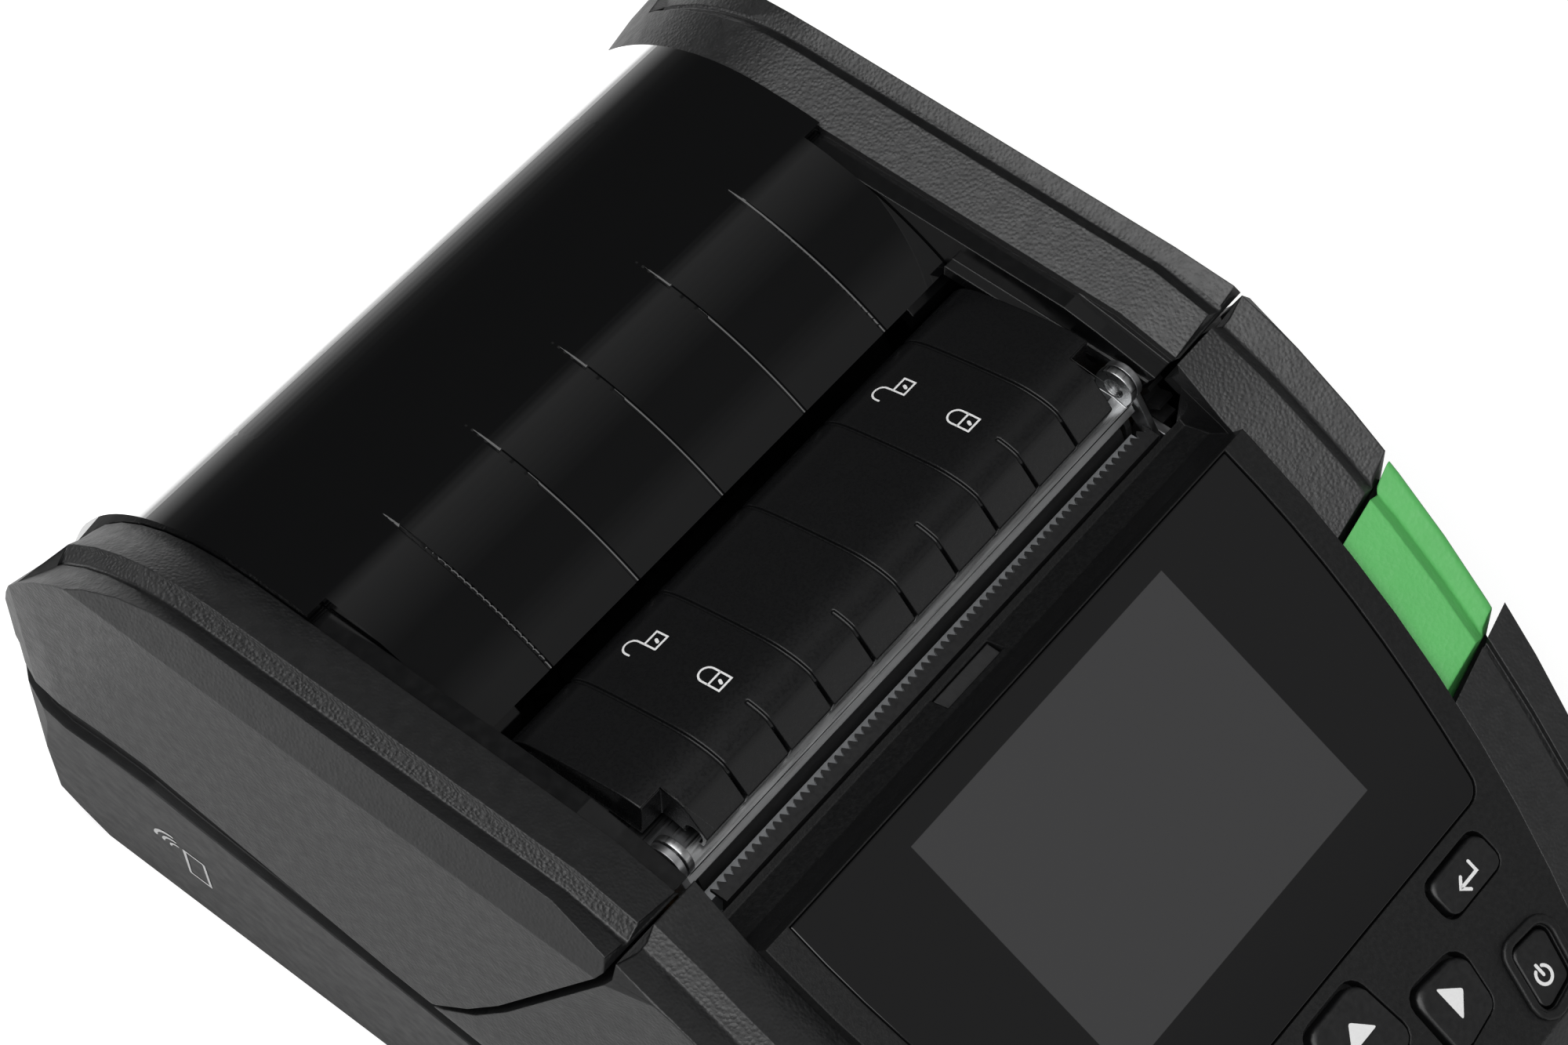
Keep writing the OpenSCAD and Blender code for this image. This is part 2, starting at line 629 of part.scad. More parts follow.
// Thermal head: ceramic strip on an aluminium heat sink, hung on a pin, pushed by springs
head_half = tear_l / 2 - 0.2;
head_t = 1.3;
sink_y0 = head_face_y - head_t - 5.3;
module printhead() {
  color("#c8c4b8") difference() {
    union() {
      box([-head_half, head_face_y - head_t, platen_z - 11], [head_half, head_face_y, platen_z + 2]);
      box([-head_half, sink_y0, platen_z - 15.5], [head_half, head_face_y - head_t, platen_z - 2.5]);
      both_sides(head_half - 4, head_half) polygon([[head_pin_y - 3, head_pin_z - 2.5],
        [head_pin_y + 2.4, head_pin_z - 2.5], [head_pin_y + 2.4, platen_z - 14.5],
        [head_pin_y - 3, platen_z - 14.5]]);
    }
    rod_x(head_pin_y, head_pin_z, pin_r + run_gap, -far, far);
  }
}
module head_pin() { color(steel) rod_x(head_pin_y, head_pin_z, pin_r, -plate_x1, plate_x1); }

// Three coils, each a short tube between the chassis and the heat sink
module head_springs() {
  color(steel) for (x = [-25, 0, 25]) translate([x, spring_back, platen_z - 6]) rotate([-90, 0, 0])
    difference() {
      cylinder(r = 2.5, h = sink_y0 - spring_back);
      translate([0, 0, -1]) cylinder(r = 1.8, h = 20);
    }
}

// Spur gear with thinned trapezoid teeth, tooth 0 pointing at angle a
module gear(teeth, a, width) {
  r = gear_m * teeth / 2;
  half_root = 0.56;
  half_tip = 0.22;
  linear_extrude(width) rotate(a) polygon([for (i = [0:teeth - 1])
    let (c = 360 * i / teeth, root = r - 1.25 * gear_m, tip = r + 0.95 * gear_m,
      wr = half_root * gear_m * 180 / PI / root * 1.25, wt = half_tip * gear_m * 180 / PI / tip * 1.6)
    each [root * [cos(c - wr), sin(c - wr)], tip * [cos(c - wt), sin(c - wt)],
      tip * [cos(c + wt), sin(c + wt)], root * [cos(c + wr), sin(c + wr)]]]);
}
// The idler's tooth points at the platen; its neighbours turn to offer a gap
module gear_at(p, teeth, a, bore) {
  color(brass) difference() {
    along_gear(p) gear(teeth, a, gear_w);
    rod_x(p.x, p.y, bore, gear_x0 - 1, gear_x1 + 1);
  }
}
module along_gear(p) { translate([gear_x0, p.x, p.y]) rotate([90, 0, 90]) children(); }
idler_phase = lift_angle;
platen_phase = lift_angle + 180 + 180 / platen_teeth;
// Teeth between the idler's first tooth and the line to the motor, as a share of one pitch
motor_turn = (motor_dir - idler_phase) * idler_teeth / 360;
pinion_phase = motor_dir + 180 + 180 / pinion_teeth + (motor_turn - round(motor_turn)) * 360 / pinion_teeth;

module platen_gear() { gear_at([platen_y, platen_z], platen_teeth, platen_phase, shaft_r + 0.01); }
module idler_gear() { gear_at(idler_at, idler_teeth, idler_phase, pin_r + run_gap); }
module motor_pinion() {
  color(brass) union() {
    along_gear(motor_at) gear(pinion_teeth, pinion_phase, gear_w);
    rod_x(motor_at.x, motor_at.y, pin_r, plate_x0 - 8, gear_x0 + 0.5);
  }
}
module idler_axle() {
  color(steel) {
    rod_x(idler_at.x, idler_at.y, pin_r, plate_x0, gear_x1 + 0.4);
    rod_x(idler_at.x, idler_at.y, pin_r + 1, gear_x1 + 0.2, gear_x1 + 0.8);
  }
}
motor_r = 10;
motor_l = 18;
motor_boss_r = 3;
module stepper_motor() {
  color("#55585c") difference() {
    union() {
      rod_x(motor_at.x, motor_at.y, motor_r, plate_x0 - motor_l, plate_x0);
      rod_x(motor_at.x, motor_at.y, motor_boss_r, plate_x0 - 1, plate_x1);
    }
    rod_x(motor_at.x, motor_at.y, pin_r + run_gap, plate_x0 - 9, plate_x1 + 1);
  }
}

roller_half = tear_l / 2 - 0.9;
bearing_x0 = ear_x0 - 0.5;
bearing_x1 = plate_x1;
module platen_shaft() { color(steel) rod_x(platen_y, platen_z, shaft_r, -bearing_x1 - 0.5, gear_x1 + 0.4); }
module platen_roller() {
  color("#26272a") difference() {
    rod_x(platen_y, platen_z, roller_r, -roller_half, roller_half);
    rod_x(platen_y, platen_z, shaft_r + 0.01, -far, far);
  }
}
module platen_bearings() {
  color(brass) mirrored() difference() {
    rod_x(platen_y, platen_z, bearing_r, bearing_x0, bearing_x1);
    rod_x(platen_y, platen_z, shaft_r + run_gap, 0, far);
  }
}

// Bent steel bar over the platen, with an ear at each end for bearing and pivot
bar_t = 0.9;
ear_r = 2.7;
sheet_z = body_h - 10.4;
beam_y0 = platen_y + 8;
beam_y1 = beam_y0 + 11.4;
module platen_bracket() {
  color(steel) difference() {
    union() {
      along_x(-ear_x1, ear_x1) polygon([[pivot_y - 2.8, sheet_z - 0.8], [pivot_y - 2, sheet_z - 0.8],
        [pivot_y + 0.4, sheet_z], [beam_y1, sheet_z], [beam_y1, sheet_z + bar_t],
        [pivot_y, sheet_z + bar_t], [pivot_y - 2.8, sheet_z + 0.1]]);
      both_sides(ear_x0, ear_x1) union() {
        translate([pivot_y, pivot_z]) circle(ear_r);
        translate([platen_y, platen_z]) circle(bearing_r + 1.4);
        polygon([[pivot_y - ear_r * 0.8, pivot_z - ear_r * 0.6], [platen_y - 4, platen_z + 2],
          [platen_y + 4.5, platen_z + 2], [pivot_y + ear_r * 0.95, pivot_z - ear_r * 0.3]]);
      }
    }
    rod_x(pivot_y, pivot_z, lever_pin_r + run_gap, -far, far);
    mirrored() rod_x(platen_y, platen_z, bearing_r + 0.01, ear_x0 - 2, ear_x1 + 2);
    for (x = [-20, 20]) translate([x, (beam_y0 + beam_y1) / 2, sheet_z - 1]) cylinder(r = screw_r + 0.1, h = 4);
  }
}
module cover_screws() {
  color(steel) for (x = [-20, 20]) translate([x, (beam_y0 + beam_y1) / 2, beam_z0]) {
    translate([0, 0, -1.2]) cylinder(r = screw_head_r, h = 1.2);
    translate([0, 0, -0.1]) cylinder(r = screw_r, h = sheet_z + bar_t - beam_z0);
  }
}

// Smoked window over the roll: rear part follows the body, front part drops to the lever
window_half = deck_half + 1.6;
window_in = 0.8;
window_t = bumper_t - window_in;
window_front = part_y + 31.7;
window_r = 50;
window_c = [rear_top.x - 3.741, body_h - window_in - window_r];
window_cut = window_front - 1;
function window_end(r) = atan2(sqrt(r * r - pow(window_c.x - window_cut, 2)), window_cut - window_c.x);
function window_profile(d) = concat([[window_cut, 40], [rear_low.x, 20]],
  arc(rear_low, rear_low_r - window_in - d, 0, wall_lean, 2),
  arc(rear_top, rear_top_r - window_in - d, wall_lean, 90),
  arc(window_c, window_r - d, 90, window_end(window_r - d), 10));
module window_shell(d, t) {
  intersection() {
    along_x(-window_half, window_half) difference() {
      polygon(window_profile(d));
      polygon(window_profile(d + t));
    }
    cover_zone();
    linear_extrude(far) polygon(inset(body_plan, window_in + d));
    box([-half_w, window_front, rear_lip_z + seam / 2], [half_w, far, far]);
  }
}
// Half the width of the window's front part, between the ledges, and how far back they reach
ledge_half = window_half - 3;
ledge_y = window_front + 22.1;
module window_skin(gap) {
  difference() {
    window_shell(0, window_t);
    both_sides(ledge_half + gap, far) polygon([[part_y, shelf_z - 20], [ledge_y + 0.2 - gap, shelf_z - 20],
      [ledge_y + 0.2 - gap, far], [part_y, far]]);
  }
}
module cover_window() {
  color(gloss_black) difference() {
    window_skin(0);
    for (i = [-2:2]) along_x(i * rib_pitch - 0.25, i * rib_pitch + 0.25) difference() {
      polygon([[window_cut - 1, far], [window_cut - 1, body_h - 22], [window_c.x + 1, body_h - 22],
        [window_c.x + 1, far]]);
      polygon(window_profile(0.4));
    }
  }
}

beam_z0 = body_h - 16.5;
rail_x0 = window_half + 0.1;
rail_x1 = rail_x0 + 1.8;
shelf_z = body_h - 8.3;
shelf_y = platen_y + 6.4;
sight_half = window_half - 9.8;
// Carrier of the cover: skin, rails beside the lever, the beam behind the platen, hinge arms
module cover_frame() {
  color(black) difference() {
    union() {
      difference() {
        intersection() { shell(bumper_t, shell_wall); cover_zone(); }
        along_x(-rail_x0, rail_x0) polygon([[-far, rear_lip_z + 1.5],
          [window_c.x, rear_lip_z + 1.5], [window_c.x, far], [-far, far]]);
      }
      difference() {
        window_shell(window_t, shell_wall);
        box([-sight_half, -far, 0], [sight_half, window_c.x + 1, far]);
      }
      intersection() {
        form(bumper_t + 0.01);
        cover_zone();
        union() {
          both_sides(rail_x0, rail_x1) polygon([[part_y, shelf_z], [beam_y0 - 0.2, shelf_z],
            [beam_y0 - 0.2, beam_z0], [beam_y1, beam_z0], [window_front + 5.1, body_h - 11.5],
            [window_c.x + 8, body_h - 11.5],
            [window_c.x + 8, far], [part_y, far]]);
          both_sides(ledge_half + 0.2, rail_x1) polygon([[part_y, shelf_z], [window_front + 0.4, shelf_z],
            [window_front + 5.1, body_h - 11.5], [ledge_y + 0.1, body_h - 11.5], [ledge_y + 0.1, body_h - 1.6],
            [ledge_y - 12, body_h - 2.6], [pivot_y + 11, body_h - 2.8], [pivot_y + 4.6, body_h - 3.8],
            [part_y, body_h - 5.8]]);
          both_sides(lever_half + 0.6, rail_x1) polygon([[shelf_y, shelf_z], [window_front - 0.4, shelf_z],
            [window_front - 0.4, shelf_z + 1.6], [shelf_y, shelf_z + 1.6]]);
          both_sides(ear_x1 + 1.4, rail_x1) polygon([[part_y, shelf_z], [shelf_y, shelf_z],
            [shelf_y, shelf_z + 1.6], [part_y, shelf_z + 1.6]]);
          box([-rail_x1, beam_y0, beam_z0], [rail_x1, beam_y1, sheet_z]);
          both_sides(rail_x0, half_w) polygon([[beam_y0, body_h - 9], [beam_y0 + 1.8, body_h - 9],
            [beam_y0 + 1.8, far], [beam_y0, far]]);
        }
      }
      mirrored() {
        rod_x(hinge_y, hinge_z, knuckle_r, knuckle_x0, knuckle_x1);
        along_x(knuckle_x0, knuckle_x1) polygon([[hinge_y - 3.8, hinge_z], [hinge_y + 2.4, hinge_z],
          [hinge_y - 0.4, rear_lip_z - 0.4], [hinge_y - 2.9, rear_lip_z + 1], [hinge_y - 3.6, rear_lip_z + 3],
          [hinge_y - 5.4, rear_lip_z + 3]]);
      }
    }
    window_skin(0.2);
    box([-sight_half, beam_y0 + 7.4, rear_lip_z + 9.5], [sight_half, far, far]);
    rod_x(hinge_y, hinge_z, pin_r + run_gap, -far, far);
    for (x = [-20, 20]) translate([x, (beam_y0 + beam_y1) / 2, 0]) cylinder(r = screw_r + 0.1, h = far);
  }
}

// Textured side pieces of the cover
module cheek() {
  difference() {
    intersection() {
      shell(0, bumper_t);
      cover_zone();
      box([rail_x0, -far, 0], [half_w, far, far]);
    }
    difference() {
      box([half_w - 5.9, -far, rear_lip_z + 1.5], [half_w - 4.7, rear_y - 18, far]);
      form(groove_d);
    }
  }
}
module cover_cheek_right() { color(charcoal) cheek(); }
module cover_cheek_left() { color(charcoal) mirror([1, 0, 0]) cheek(); }

module hinge_pin() { color(steel) rod_x(hinge_y, hinge_z, pin_r, -half_w + 10, half_w - 10); }
spring_half = 12;
hinge_coil_r = pin_r + 1.6;
module hinge_spring() {
  color(steel) difference() {
    rod_x(hinge_y, hinge_z, hinge_coil_r, -spring_half, spring_half);
    rod_x(hinge_y, hinge_z, pin_r + 0.3, -far, far);
  }
}

// Latch lever across the cover's front, with its pivot pins, hooks and spring
lever_half = ear_x0 + 0.5;
nose_half = ear_x0 - 1.5;
lever_rear = pivot_y + 24;
lever_top = [[lever_rear, body_h - 9.2], [pivot_y + 22.6, body_h - 7.5], [pivot_y + 19.3, body_h - 6],
  [pivot_y + 8.8, body_h - 3.3], [pivot_y + 4.6, body_h - 2.9], [pivot_y + 1.8, body_h - 3.4],
  [pivot_y + 0.6, body_h - 4.3]];
lever_skin = smooth(lever_top);
nose_from = len(lever_skin) - 9;
module lever_groove(x, y0, y1) {
  along_x(x - 0.25, x + 0.25) difference() {
    translate([y0, 0]) square([y1 - y0, far]);
    polygon(concat([for (q = lever_skin) q - [0, 0.4]], [[pivot_y + 0.6, 0], [lever_rear, 0]]));
  }
}
module latch_lever() {
  color(black) difference() {
    union() {
      along_x(-lever_half, lever_half) polygon(concat([[pivot_y + 4.5, sheet_z + 2.2],
        [pivot_y + 10.6, sheet_z + 2.2], [lever_rear - 0.4, body_h - 9.4]],
        [for (i = [0:nose_from]) lever_skin[i]], [[pivot_y + 4.5, body_h - 2.91]]));
      along_x(-nose_half, nose_half) polygon(concat([[pivot_y - 1.4, pivot_z - 1.3],
        [pivot_y + 3, sheet_z + 2.2], [pivot_y + 4.6, sheet_z + 2.2]],
        [for (i = [nose_from:len(lever_skin) - 1]) lever_skin[i]],
        [[pivot_y - 0.6, pivot_z + 2.4], [pivot_y - 2, pivot_z + 0.8]]));
    }
    for (i = [-2:2]) lever_groove(i * rib_pitch, pivot_y - 30, pivot_y + 30);
    for (i = [-1.5, -0.5, 0.5, 1.5]) lever_groove(i * rib_pitch, pivot_y - 3, pivot_y + 4.4);
    mirrored() rod_x(pivot_y, pivot_z, lever_pin_r + 0.01, nose_half - 4, far);
  }
}
module lever_pins() { color(steel) mirrored() rod_x(pivot_y, pivot_z, lever_pin_r, nose_half - 3.8, hook_x1); }
hook_x0 = ear_x1 + 0.25;
hook_x1 = hook_x0 + 0.9;
module latch_hooks() {
  color(steel) difference() {
    both_sides(hook_x0, hook_x1) union() {
      translate([pivot_y, pivot_z]) circle(2.6);
      polygon([[pivot_y - 2.4, pivot_z - 1], [pivot_y - 5.9, pivot_z - 6.5], [pivot_y - 5.4, pivot_z - 16],
        [pivot_y - 3.7, pivot_z - 16], [pivot_y - 4.3, pivot_z - 7.2], [pivot_y + 0.6, pivot_z - 2.4]]);
    }
    rod_x(pivot_y, pivot_z, lever_pin_r + 0.01, -far, far);
  }
}
// Bowed leaf between the bracket and the lever
module lever_spring() {
  color(steel) along_x(-10, 10) translate([pivot_y + 7.6, sheet_z]) polygon([[0, bar_t], [8, bar_t],
    [8, bar_t + 0.4], [4, 1.7], [2, 1.7], [0, bar_t + 0.4]]);
}

// Media guides: a disc with a hub on a racked foot, and the pinion that links them
roll_y = window_c.x - 1;
roll_z = body_h - 39;
disc_t = 2;
rack_r = gear_m * pinion_teeth / 2;
pinion_post_r = 2;
rack_z = floor_z + 0.3;
rack_h = 3;
guide_x0 = tear_l / 2 + 0.1;
foot_y0 = 3;
module guide() {
  color(black) {
    difference() {
      union() {
        rod_x(roll_y, roll_z, guide_r, guide_x0, guide_x0 + disc_t);
        rod_x(roll_y, roll_z, hub_r, guide_x0 - 6, guide_x0 + 0.5);
      }
      rod_x(roll_y, roll_z, hub_r - 2, guide_x0 - 7, guide_x0 + 3);
    }
    box([guide_x0, roll_y + foot_y0, rack_z], [guide_x0 + disc_t, roll_y + foot_y0 + 11, roll_z - guide_r / 2]);
    difference() {
      box([-9, roll_y + rack_r - 0.9 * gear_m, rack_z],
        [guide_x0 + 0.5, roll_y + rack_r + 3.8, rack_z + rack_h]);
      for (i = [-4:13]) let (p = gear_m * PI)
        translate([(i + rack_phase) * p, roll_y + rack_r, rack_z - 1]) linear_extrude(rack_h + 2)
          polygon([[-0.4 * p, -1], [-0.16 * p, 1.3 * gear_m], [0.16 * p, 1.3 * gear_m], [0.4 * p, -1]]);
    }
  }
}
rack_phase = 0;
module media_guide_right() { guide(); }
module media_guide_left() { translate([0, 2 * roll_y, 0]) rotate(180) guide(); }
module guide_pinion() {
  color(white) difference() {
    translate([0, roll_y, rack_z]) gear(pinion_teeth, 90, rack_h);
    translate([0, roll_y, 0]) cylinder(r = pinion_post_r + run_gap, h = 20);
  }
}

module label_sensor() {
  color(board_green) box([-7, chassis_rear - 1.6 - 2.4, 34], [7, chassis_rear - 1.6, 43]);
}
sensor_y = lip_y - 2.2;
module taken_sensor() {
  color(gloss_black) box([-5, sensor_y - 1, bar_top], [5, sensor_y + 1, lip_z - 0.6]);
}

board_z = 29;
module main_board() {
  color(board_green) box([-36, front_y + 17, board_z], [36, chassis_front - 2.5, board_z + board_t]);
}

// Battery pack: its right-hand end is part of the case wall
notch_d = 2;
latch_throw = 3;
module battery_pack() {
  color(charcoal) difference() {
    intersection() { battery_box(0); form(0.2); }
    box([latch_x0 - 0.5, latch_y - notch_d - 0.4, 0],
      [latch_x0 + latch_w + 0.5, latch_y + 1, floor_z + latch_h + 0.4]);
  }
}
module battery_latch() {
  color(black) {
    box([latch_x0, latch_y + bay_gap, 0.6], [latch_x0 + latch_w, latch_y + latch_l - 0.4, floor_z + 0.9]);
    box([latch_x0, latch_y + bay_gap, floor_z + 0.6],
      [latch_x0 + latch_w, latch_y + 2.2, floor_z + latch_h - 0.4]);
  }
}
module battery_contacts() {
  color(brass) for (y = [-8, 0, 8]) translate([-battery_in - bay_gap, battery_y0 + battery_d / 2 + y, 0])
    box([0, -1.5, battery_z0 + 4], [0.3, 1.5, battery_z0 + 9]);
}

module port_cover() { color(rubber) intersection() { flap_box(0); shell(0, flap_t); } }
port_x = half_w - 11;
module port_connectors() {
  color(steel) {
    box([port_x - 2, flap_y0 + 2, floor_z], [port_x, flap_y0 + flap_l - 2, flap_z0 + flap_h - 2]);
    difference() {
      box([port_x, flap_y0 + 7, flap_z0 + 5.4], [port_x + 3, flap_y0 + 16, flap_z0 + 8.6]);
      box([port_x + 0.6, flap_y0 + 7.6, flap_z0 + 6], [far, flap_y0 + 15.4, flap_z0 + 8]);
    }
    difference() {
      rod_x(flap_y0 + 25, flap_z0 + 7, 3.2, port_x, port_x + 3);
      rod_x(flap_y0 + 25, flap_z0 + 7, 2.4, port_x + 0.6, far);
    }
  }
}

module case_screws() {
  color(steel) for (s = [front_screw, rear_screw], m = [-1, 1]) translate([m * s.x, s.y, 0]) {
    translate([0, 0, 1]) cylinder(r = screw_head_r, h = 2);
    translate([0, 0, 2]) cylinder(r = screw_r, h = s.z - 5);
  }
}

base_shell();
top_housing();
display_lens();
display_module();
keypad_mat();
key_up();
key_left();
key_right();
key_down();
key_enter();
key_menu();
key_power();
key_feed();
power_ring();
keypad_board();
main_board();
bumper_left();
bumper_right();
accent_left();
accent_right();
bumper_front();
tear_bar();
print_chassis();
printhead();
head_pin();
head_springs();
stepper_motor();
motor_pinion();
idler_axle();
idler_gear();
platen_shaft();
platen_roller();
platen_bearings();
platen_gear();
platen_bracket();
media_guide_left();
media_guide_right();
guide_pinion();
label_sensor();
taken_sensor();
battery_pack();
battery_latch();
battery_contacts();
port_cover();
port_connectors();
cover_frame();
cover_window();
cover_cheek_left();
cover_cheek_right();
cover_screws();
hinge_pin();
hinge_spring();
latch_lever();
lever_pins();
latch_hooks();
lever_spring();
case_screws();
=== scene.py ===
# %% [markdown]
# # A portable label printer
# The printer is a palm-sized box for 80 mm labels. Its sides carry leather-grained bumpers with a green
# accent, the roll sits under a glossy smoked cover, and a latch lever crosses the front of that cover.
# In front are a steel bar, a toothed tear bar, a tilted display and a small keypad.
# The CAD model is loaded first and stays fixed. Each piece made here takes its place on it, in metres.

# %% Load the frame
import json
import math

import bpy
from mathutils import Matrix, Vector

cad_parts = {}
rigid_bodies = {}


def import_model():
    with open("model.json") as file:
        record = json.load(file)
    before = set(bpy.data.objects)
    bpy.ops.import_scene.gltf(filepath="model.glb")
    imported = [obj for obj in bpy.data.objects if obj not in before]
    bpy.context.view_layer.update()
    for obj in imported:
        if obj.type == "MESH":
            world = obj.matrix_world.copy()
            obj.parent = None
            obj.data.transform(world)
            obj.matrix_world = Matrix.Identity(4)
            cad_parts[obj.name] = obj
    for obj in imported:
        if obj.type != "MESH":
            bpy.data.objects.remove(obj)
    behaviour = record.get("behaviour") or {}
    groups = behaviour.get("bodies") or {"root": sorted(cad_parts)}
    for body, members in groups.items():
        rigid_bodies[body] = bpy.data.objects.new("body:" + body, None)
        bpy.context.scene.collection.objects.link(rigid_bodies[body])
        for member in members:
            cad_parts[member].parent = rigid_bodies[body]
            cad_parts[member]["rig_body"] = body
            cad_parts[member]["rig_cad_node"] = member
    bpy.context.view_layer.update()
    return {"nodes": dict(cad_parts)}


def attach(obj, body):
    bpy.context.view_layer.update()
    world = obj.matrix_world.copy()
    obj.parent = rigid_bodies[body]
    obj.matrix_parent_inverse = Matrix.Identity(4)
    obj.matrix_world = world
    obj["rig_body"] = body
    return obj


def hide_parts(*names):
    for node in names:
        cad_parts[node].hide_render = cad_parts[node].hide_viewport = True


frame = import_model()
nodes = frame["nodes"]
MM = 0.001

# %% [markdown]
# ## Helpers for working as by hand
# An operator acts on all that is selected, so `only` clears the selection first. `choose` picks vertices
# in edit mode by their place, given in millimetres, the way a hand would box-select them.

# %% Selecting


def only(piece):
    if bpy.context.mode != "OBJECT":
        bpy.ops.object.mode_set(mode="OBJECT")
    bpy.ops.object.select_all(action="DESELECT")
    piece.hide_viewport = False
    piece.select_set(True)
    bpy.context.view_layer.objects.active = piece


def choose(piece, wanted):
    """Selects the vertices for which wanted(x, y, z) holds, in millimetres, and stays in edit mode."""
    only(piece)
    bpy.ops.object.mode_set(mode="EDIT")
    bpy.ops.mesh.select_mode(type="VERT")
    bpy.ops.mesh.select_all(action="DESELECT")
    bpy.ops.object.mode_set(mode="OBJECT")
    count = 0
    for vertex in piece.data.vertices:
        vertex.select = bool(wanted(*(vertex.co / MM)))
        count += vertex.select
    bpy.ops.object.mode_set(mode="EDIT")
    return count


def leave():
    bpy.ops.object.mode_set(mode="OBJECT")


def shift(piece, wanted, by):
    """Moves the wanted vertices by so many millimetres."""
    count = choose(piece, wanted)
    bpy.ops.transform.translate(value=Vector(by) * MM)
    leave()
    return count


def settle(piece, body, slot, *replaced):
    """Puts a finished piece on its body and hides the nodes that it stands for. The slot is not used."""
    only(piece)
    bpy.ops.object.transform_apply(location=True, rotation=True, scale=True)
    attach(piece, body)
    if replaced:
        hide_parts(*replaced)
    return piece


# %% [markdown]
# ## A soft copy of a moulded part
# The CAD solids have sharp corners. A real moulding has a radius on every edge, and that radius is what
# catches the light. A copy of the node's mesh is merged, its flat faces are joined again, and a bevel
# modifier rounds the edges. The copy then replaces the node and rides on the same body.

# %% Soft copies
FLAT_ANGLE = 0.6


def merged_copy(node, name, weld=0.004):
    """A copy of a node's mesh with whole faces. Vertices within weld millimetres of each other are joined."""
    only(nodes[node])
    bpy.ops.object.duplicate()
    piece = bpy.context.object
    piece.name = name
    piece.data.name = name
    del piece["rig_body"]
    del piece["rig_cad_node"]
    piece.parent = None
    bpy.ops.object.mode_set(mode="EDIT")
    bpy.ops.mesh.select_all(action="SELECT")
    bpy.ops.mesh.remove_doubles(threshold=weld * MM)
    bpy.ops.mesh.dissolve_limited(angle_limit=math.radians(FLAT_ANGLE), use_dissolve_boundaries=False)
    leave()
    return piece


def smooth(piece, angle):
    """Smooth shading whose flat faces stay flat: the large faces decide the normals."""
    only(piece)
    bpy.ops.object.shade_smooth_by_angle(angle=math.radians(angle))
    even = piece.modifiers.new("even normals", "WEIGHTED_NORMAL")
    even.keep_sharp = True
    even.weight = 80
    bpy.ops.object.modifier_apply(modifier=even.name)


def round_edges(piece, width, angle=24, parts=3, clamp=True):
    only(piece)
    soft = piece.modifiers.new("rounded edges", "BEVEL")
    soft.width = width * MM
    soft.segments = parts
    soft.limit_method = "ANGLE"
    soft.angle_limit = math.radians(angle)
    soft.use_clamp_overlap = clamp
    soft.miter_outer = "MITER_ARC"
    bpy.ops.object.modifier_apply(modifier=soft.name)
    smooth(piece, 34)


def roll_edges(piece, weight_of, width, parts):
    """Rounds each edge by its own share of the width, which weight_of gives for the edge's two ends."""
    weights = piece.data.attributes.new("bevel_weight_edge", "FLOAT", "EDGE")
    places = [vertex.co / MM for vertex in piece.data.vertices]
    for edge in piece.data.edges:
        weights.data[edge.index].value = weight_of(*[places[i] for i in edge.vertices])
    only(piece)
    soft = piece.modifiers.new("rolled edges", "BEVEL")
    soft.width = width * MM
    soft.segments = parts
    soft.limit_method = "WEIGHT"
    soft.use_clamp_overlap = True
    bpy.ops.object.modifier_apply(modifier=soft.name)
    piece.data.attributes.remove(piece.data.attributes["bevel_weight_edge"])


def soft_copy(node, name, slot, width):
    piece = merged_copy(node, name)
    round_edges(piece, width)
    return settle(piece, nodes[node]["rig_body"], slot, node)


# %% [markdown]
# ## The camera
# The photograph looks down from the front left with a long lens. The place was found by matching
# features that lie symmetrically left and right on the printer.

# %% Camera
bpy.ops.object.camera_add()
camera = bpy.context.object
camera.name = "camera"
camera.location = Vector((-207.2, -157.3, 466.0)) * MM
forward = Vector((0.4388, 0.3539, -0.8260))
camera.rotation_euler = forward.to_track_quat("-Z", "Y").to_euler()
camera.data.lens = 94.5
camera.data.sensor_width = 36
camera.data.clip_start = 0.01
bpy.context.scene.camera = camera
bpy.context.scene.view_settings.view_transform = "Standard"
print("camera looks along", [round(v, 3) for v in forward])

# %% [markdown]
# ## Helpers for node trees
# The world and each material are a tree of nodes with linked sockets. These helpers add a node, map a
# value from one range to another and work out a sum, so that the steps below read like a recipe.

# %% Nodes


def add_node(tree, kind, **settings):
    made = tree.nodes.new(kind)
    for key, value in settings.items():
        setattr(made, key, value)
    return made


def ranged(tree, value, low, high, out_low, out_high):
    """Maps a value that runs from low to high onto the range from out_low to out_high."""
    made = add_node(tree, "ShaderNodeMapRange")
    for index, number in enumerate((low, high, out_low, out_high)):
        made.inputs[index + 1].default_value = number
    tree.links.new(value, made.inputs[0])
    return made.outputs[0]


def maths(tree, operation, *values):
    """Works on one or two values, each of them a number or another node's output."""
    made = add_node(tree, "ShaderNodeMath", operation=operation)
    for socket, value in zip(made.inputs, values):
        if isinstance(value, (int, float)):
            socket.default_value = value
        else:
            tree.links.new(value, socket)
    return made.outputs[0]


# %% [markdown]
# ## Light
# The gloss of the cover shows the studio: a dim ceiling, one soft strip overhead, a dark gap, a second
# strip low in front and a bright card behind. They are drawn in the world by the angle at which a ray
# leaves, because a gradient is easier to shape there than on a lamp. The camera itself sees white.
# One large area lamp gives the plain level of light.

# %% Studio in the world
scene = bpy.context.scene
scene.world = bpy.data.worlds.new("studio")
scene.world.use_nodes = True
sky = scene.world.node_tree
sky.nodes.clear()
ray = add_node(sky, "ShaderNodeSeparateXYZ")
sky.links.new(add_node(sky, "ShaderNodeTexCoord").outputs["Generated"], ray.inputs[0])
towards_back = maths(sky, "ARCTAN2", ray.outputs["Y"], ray.outputs["Z"])

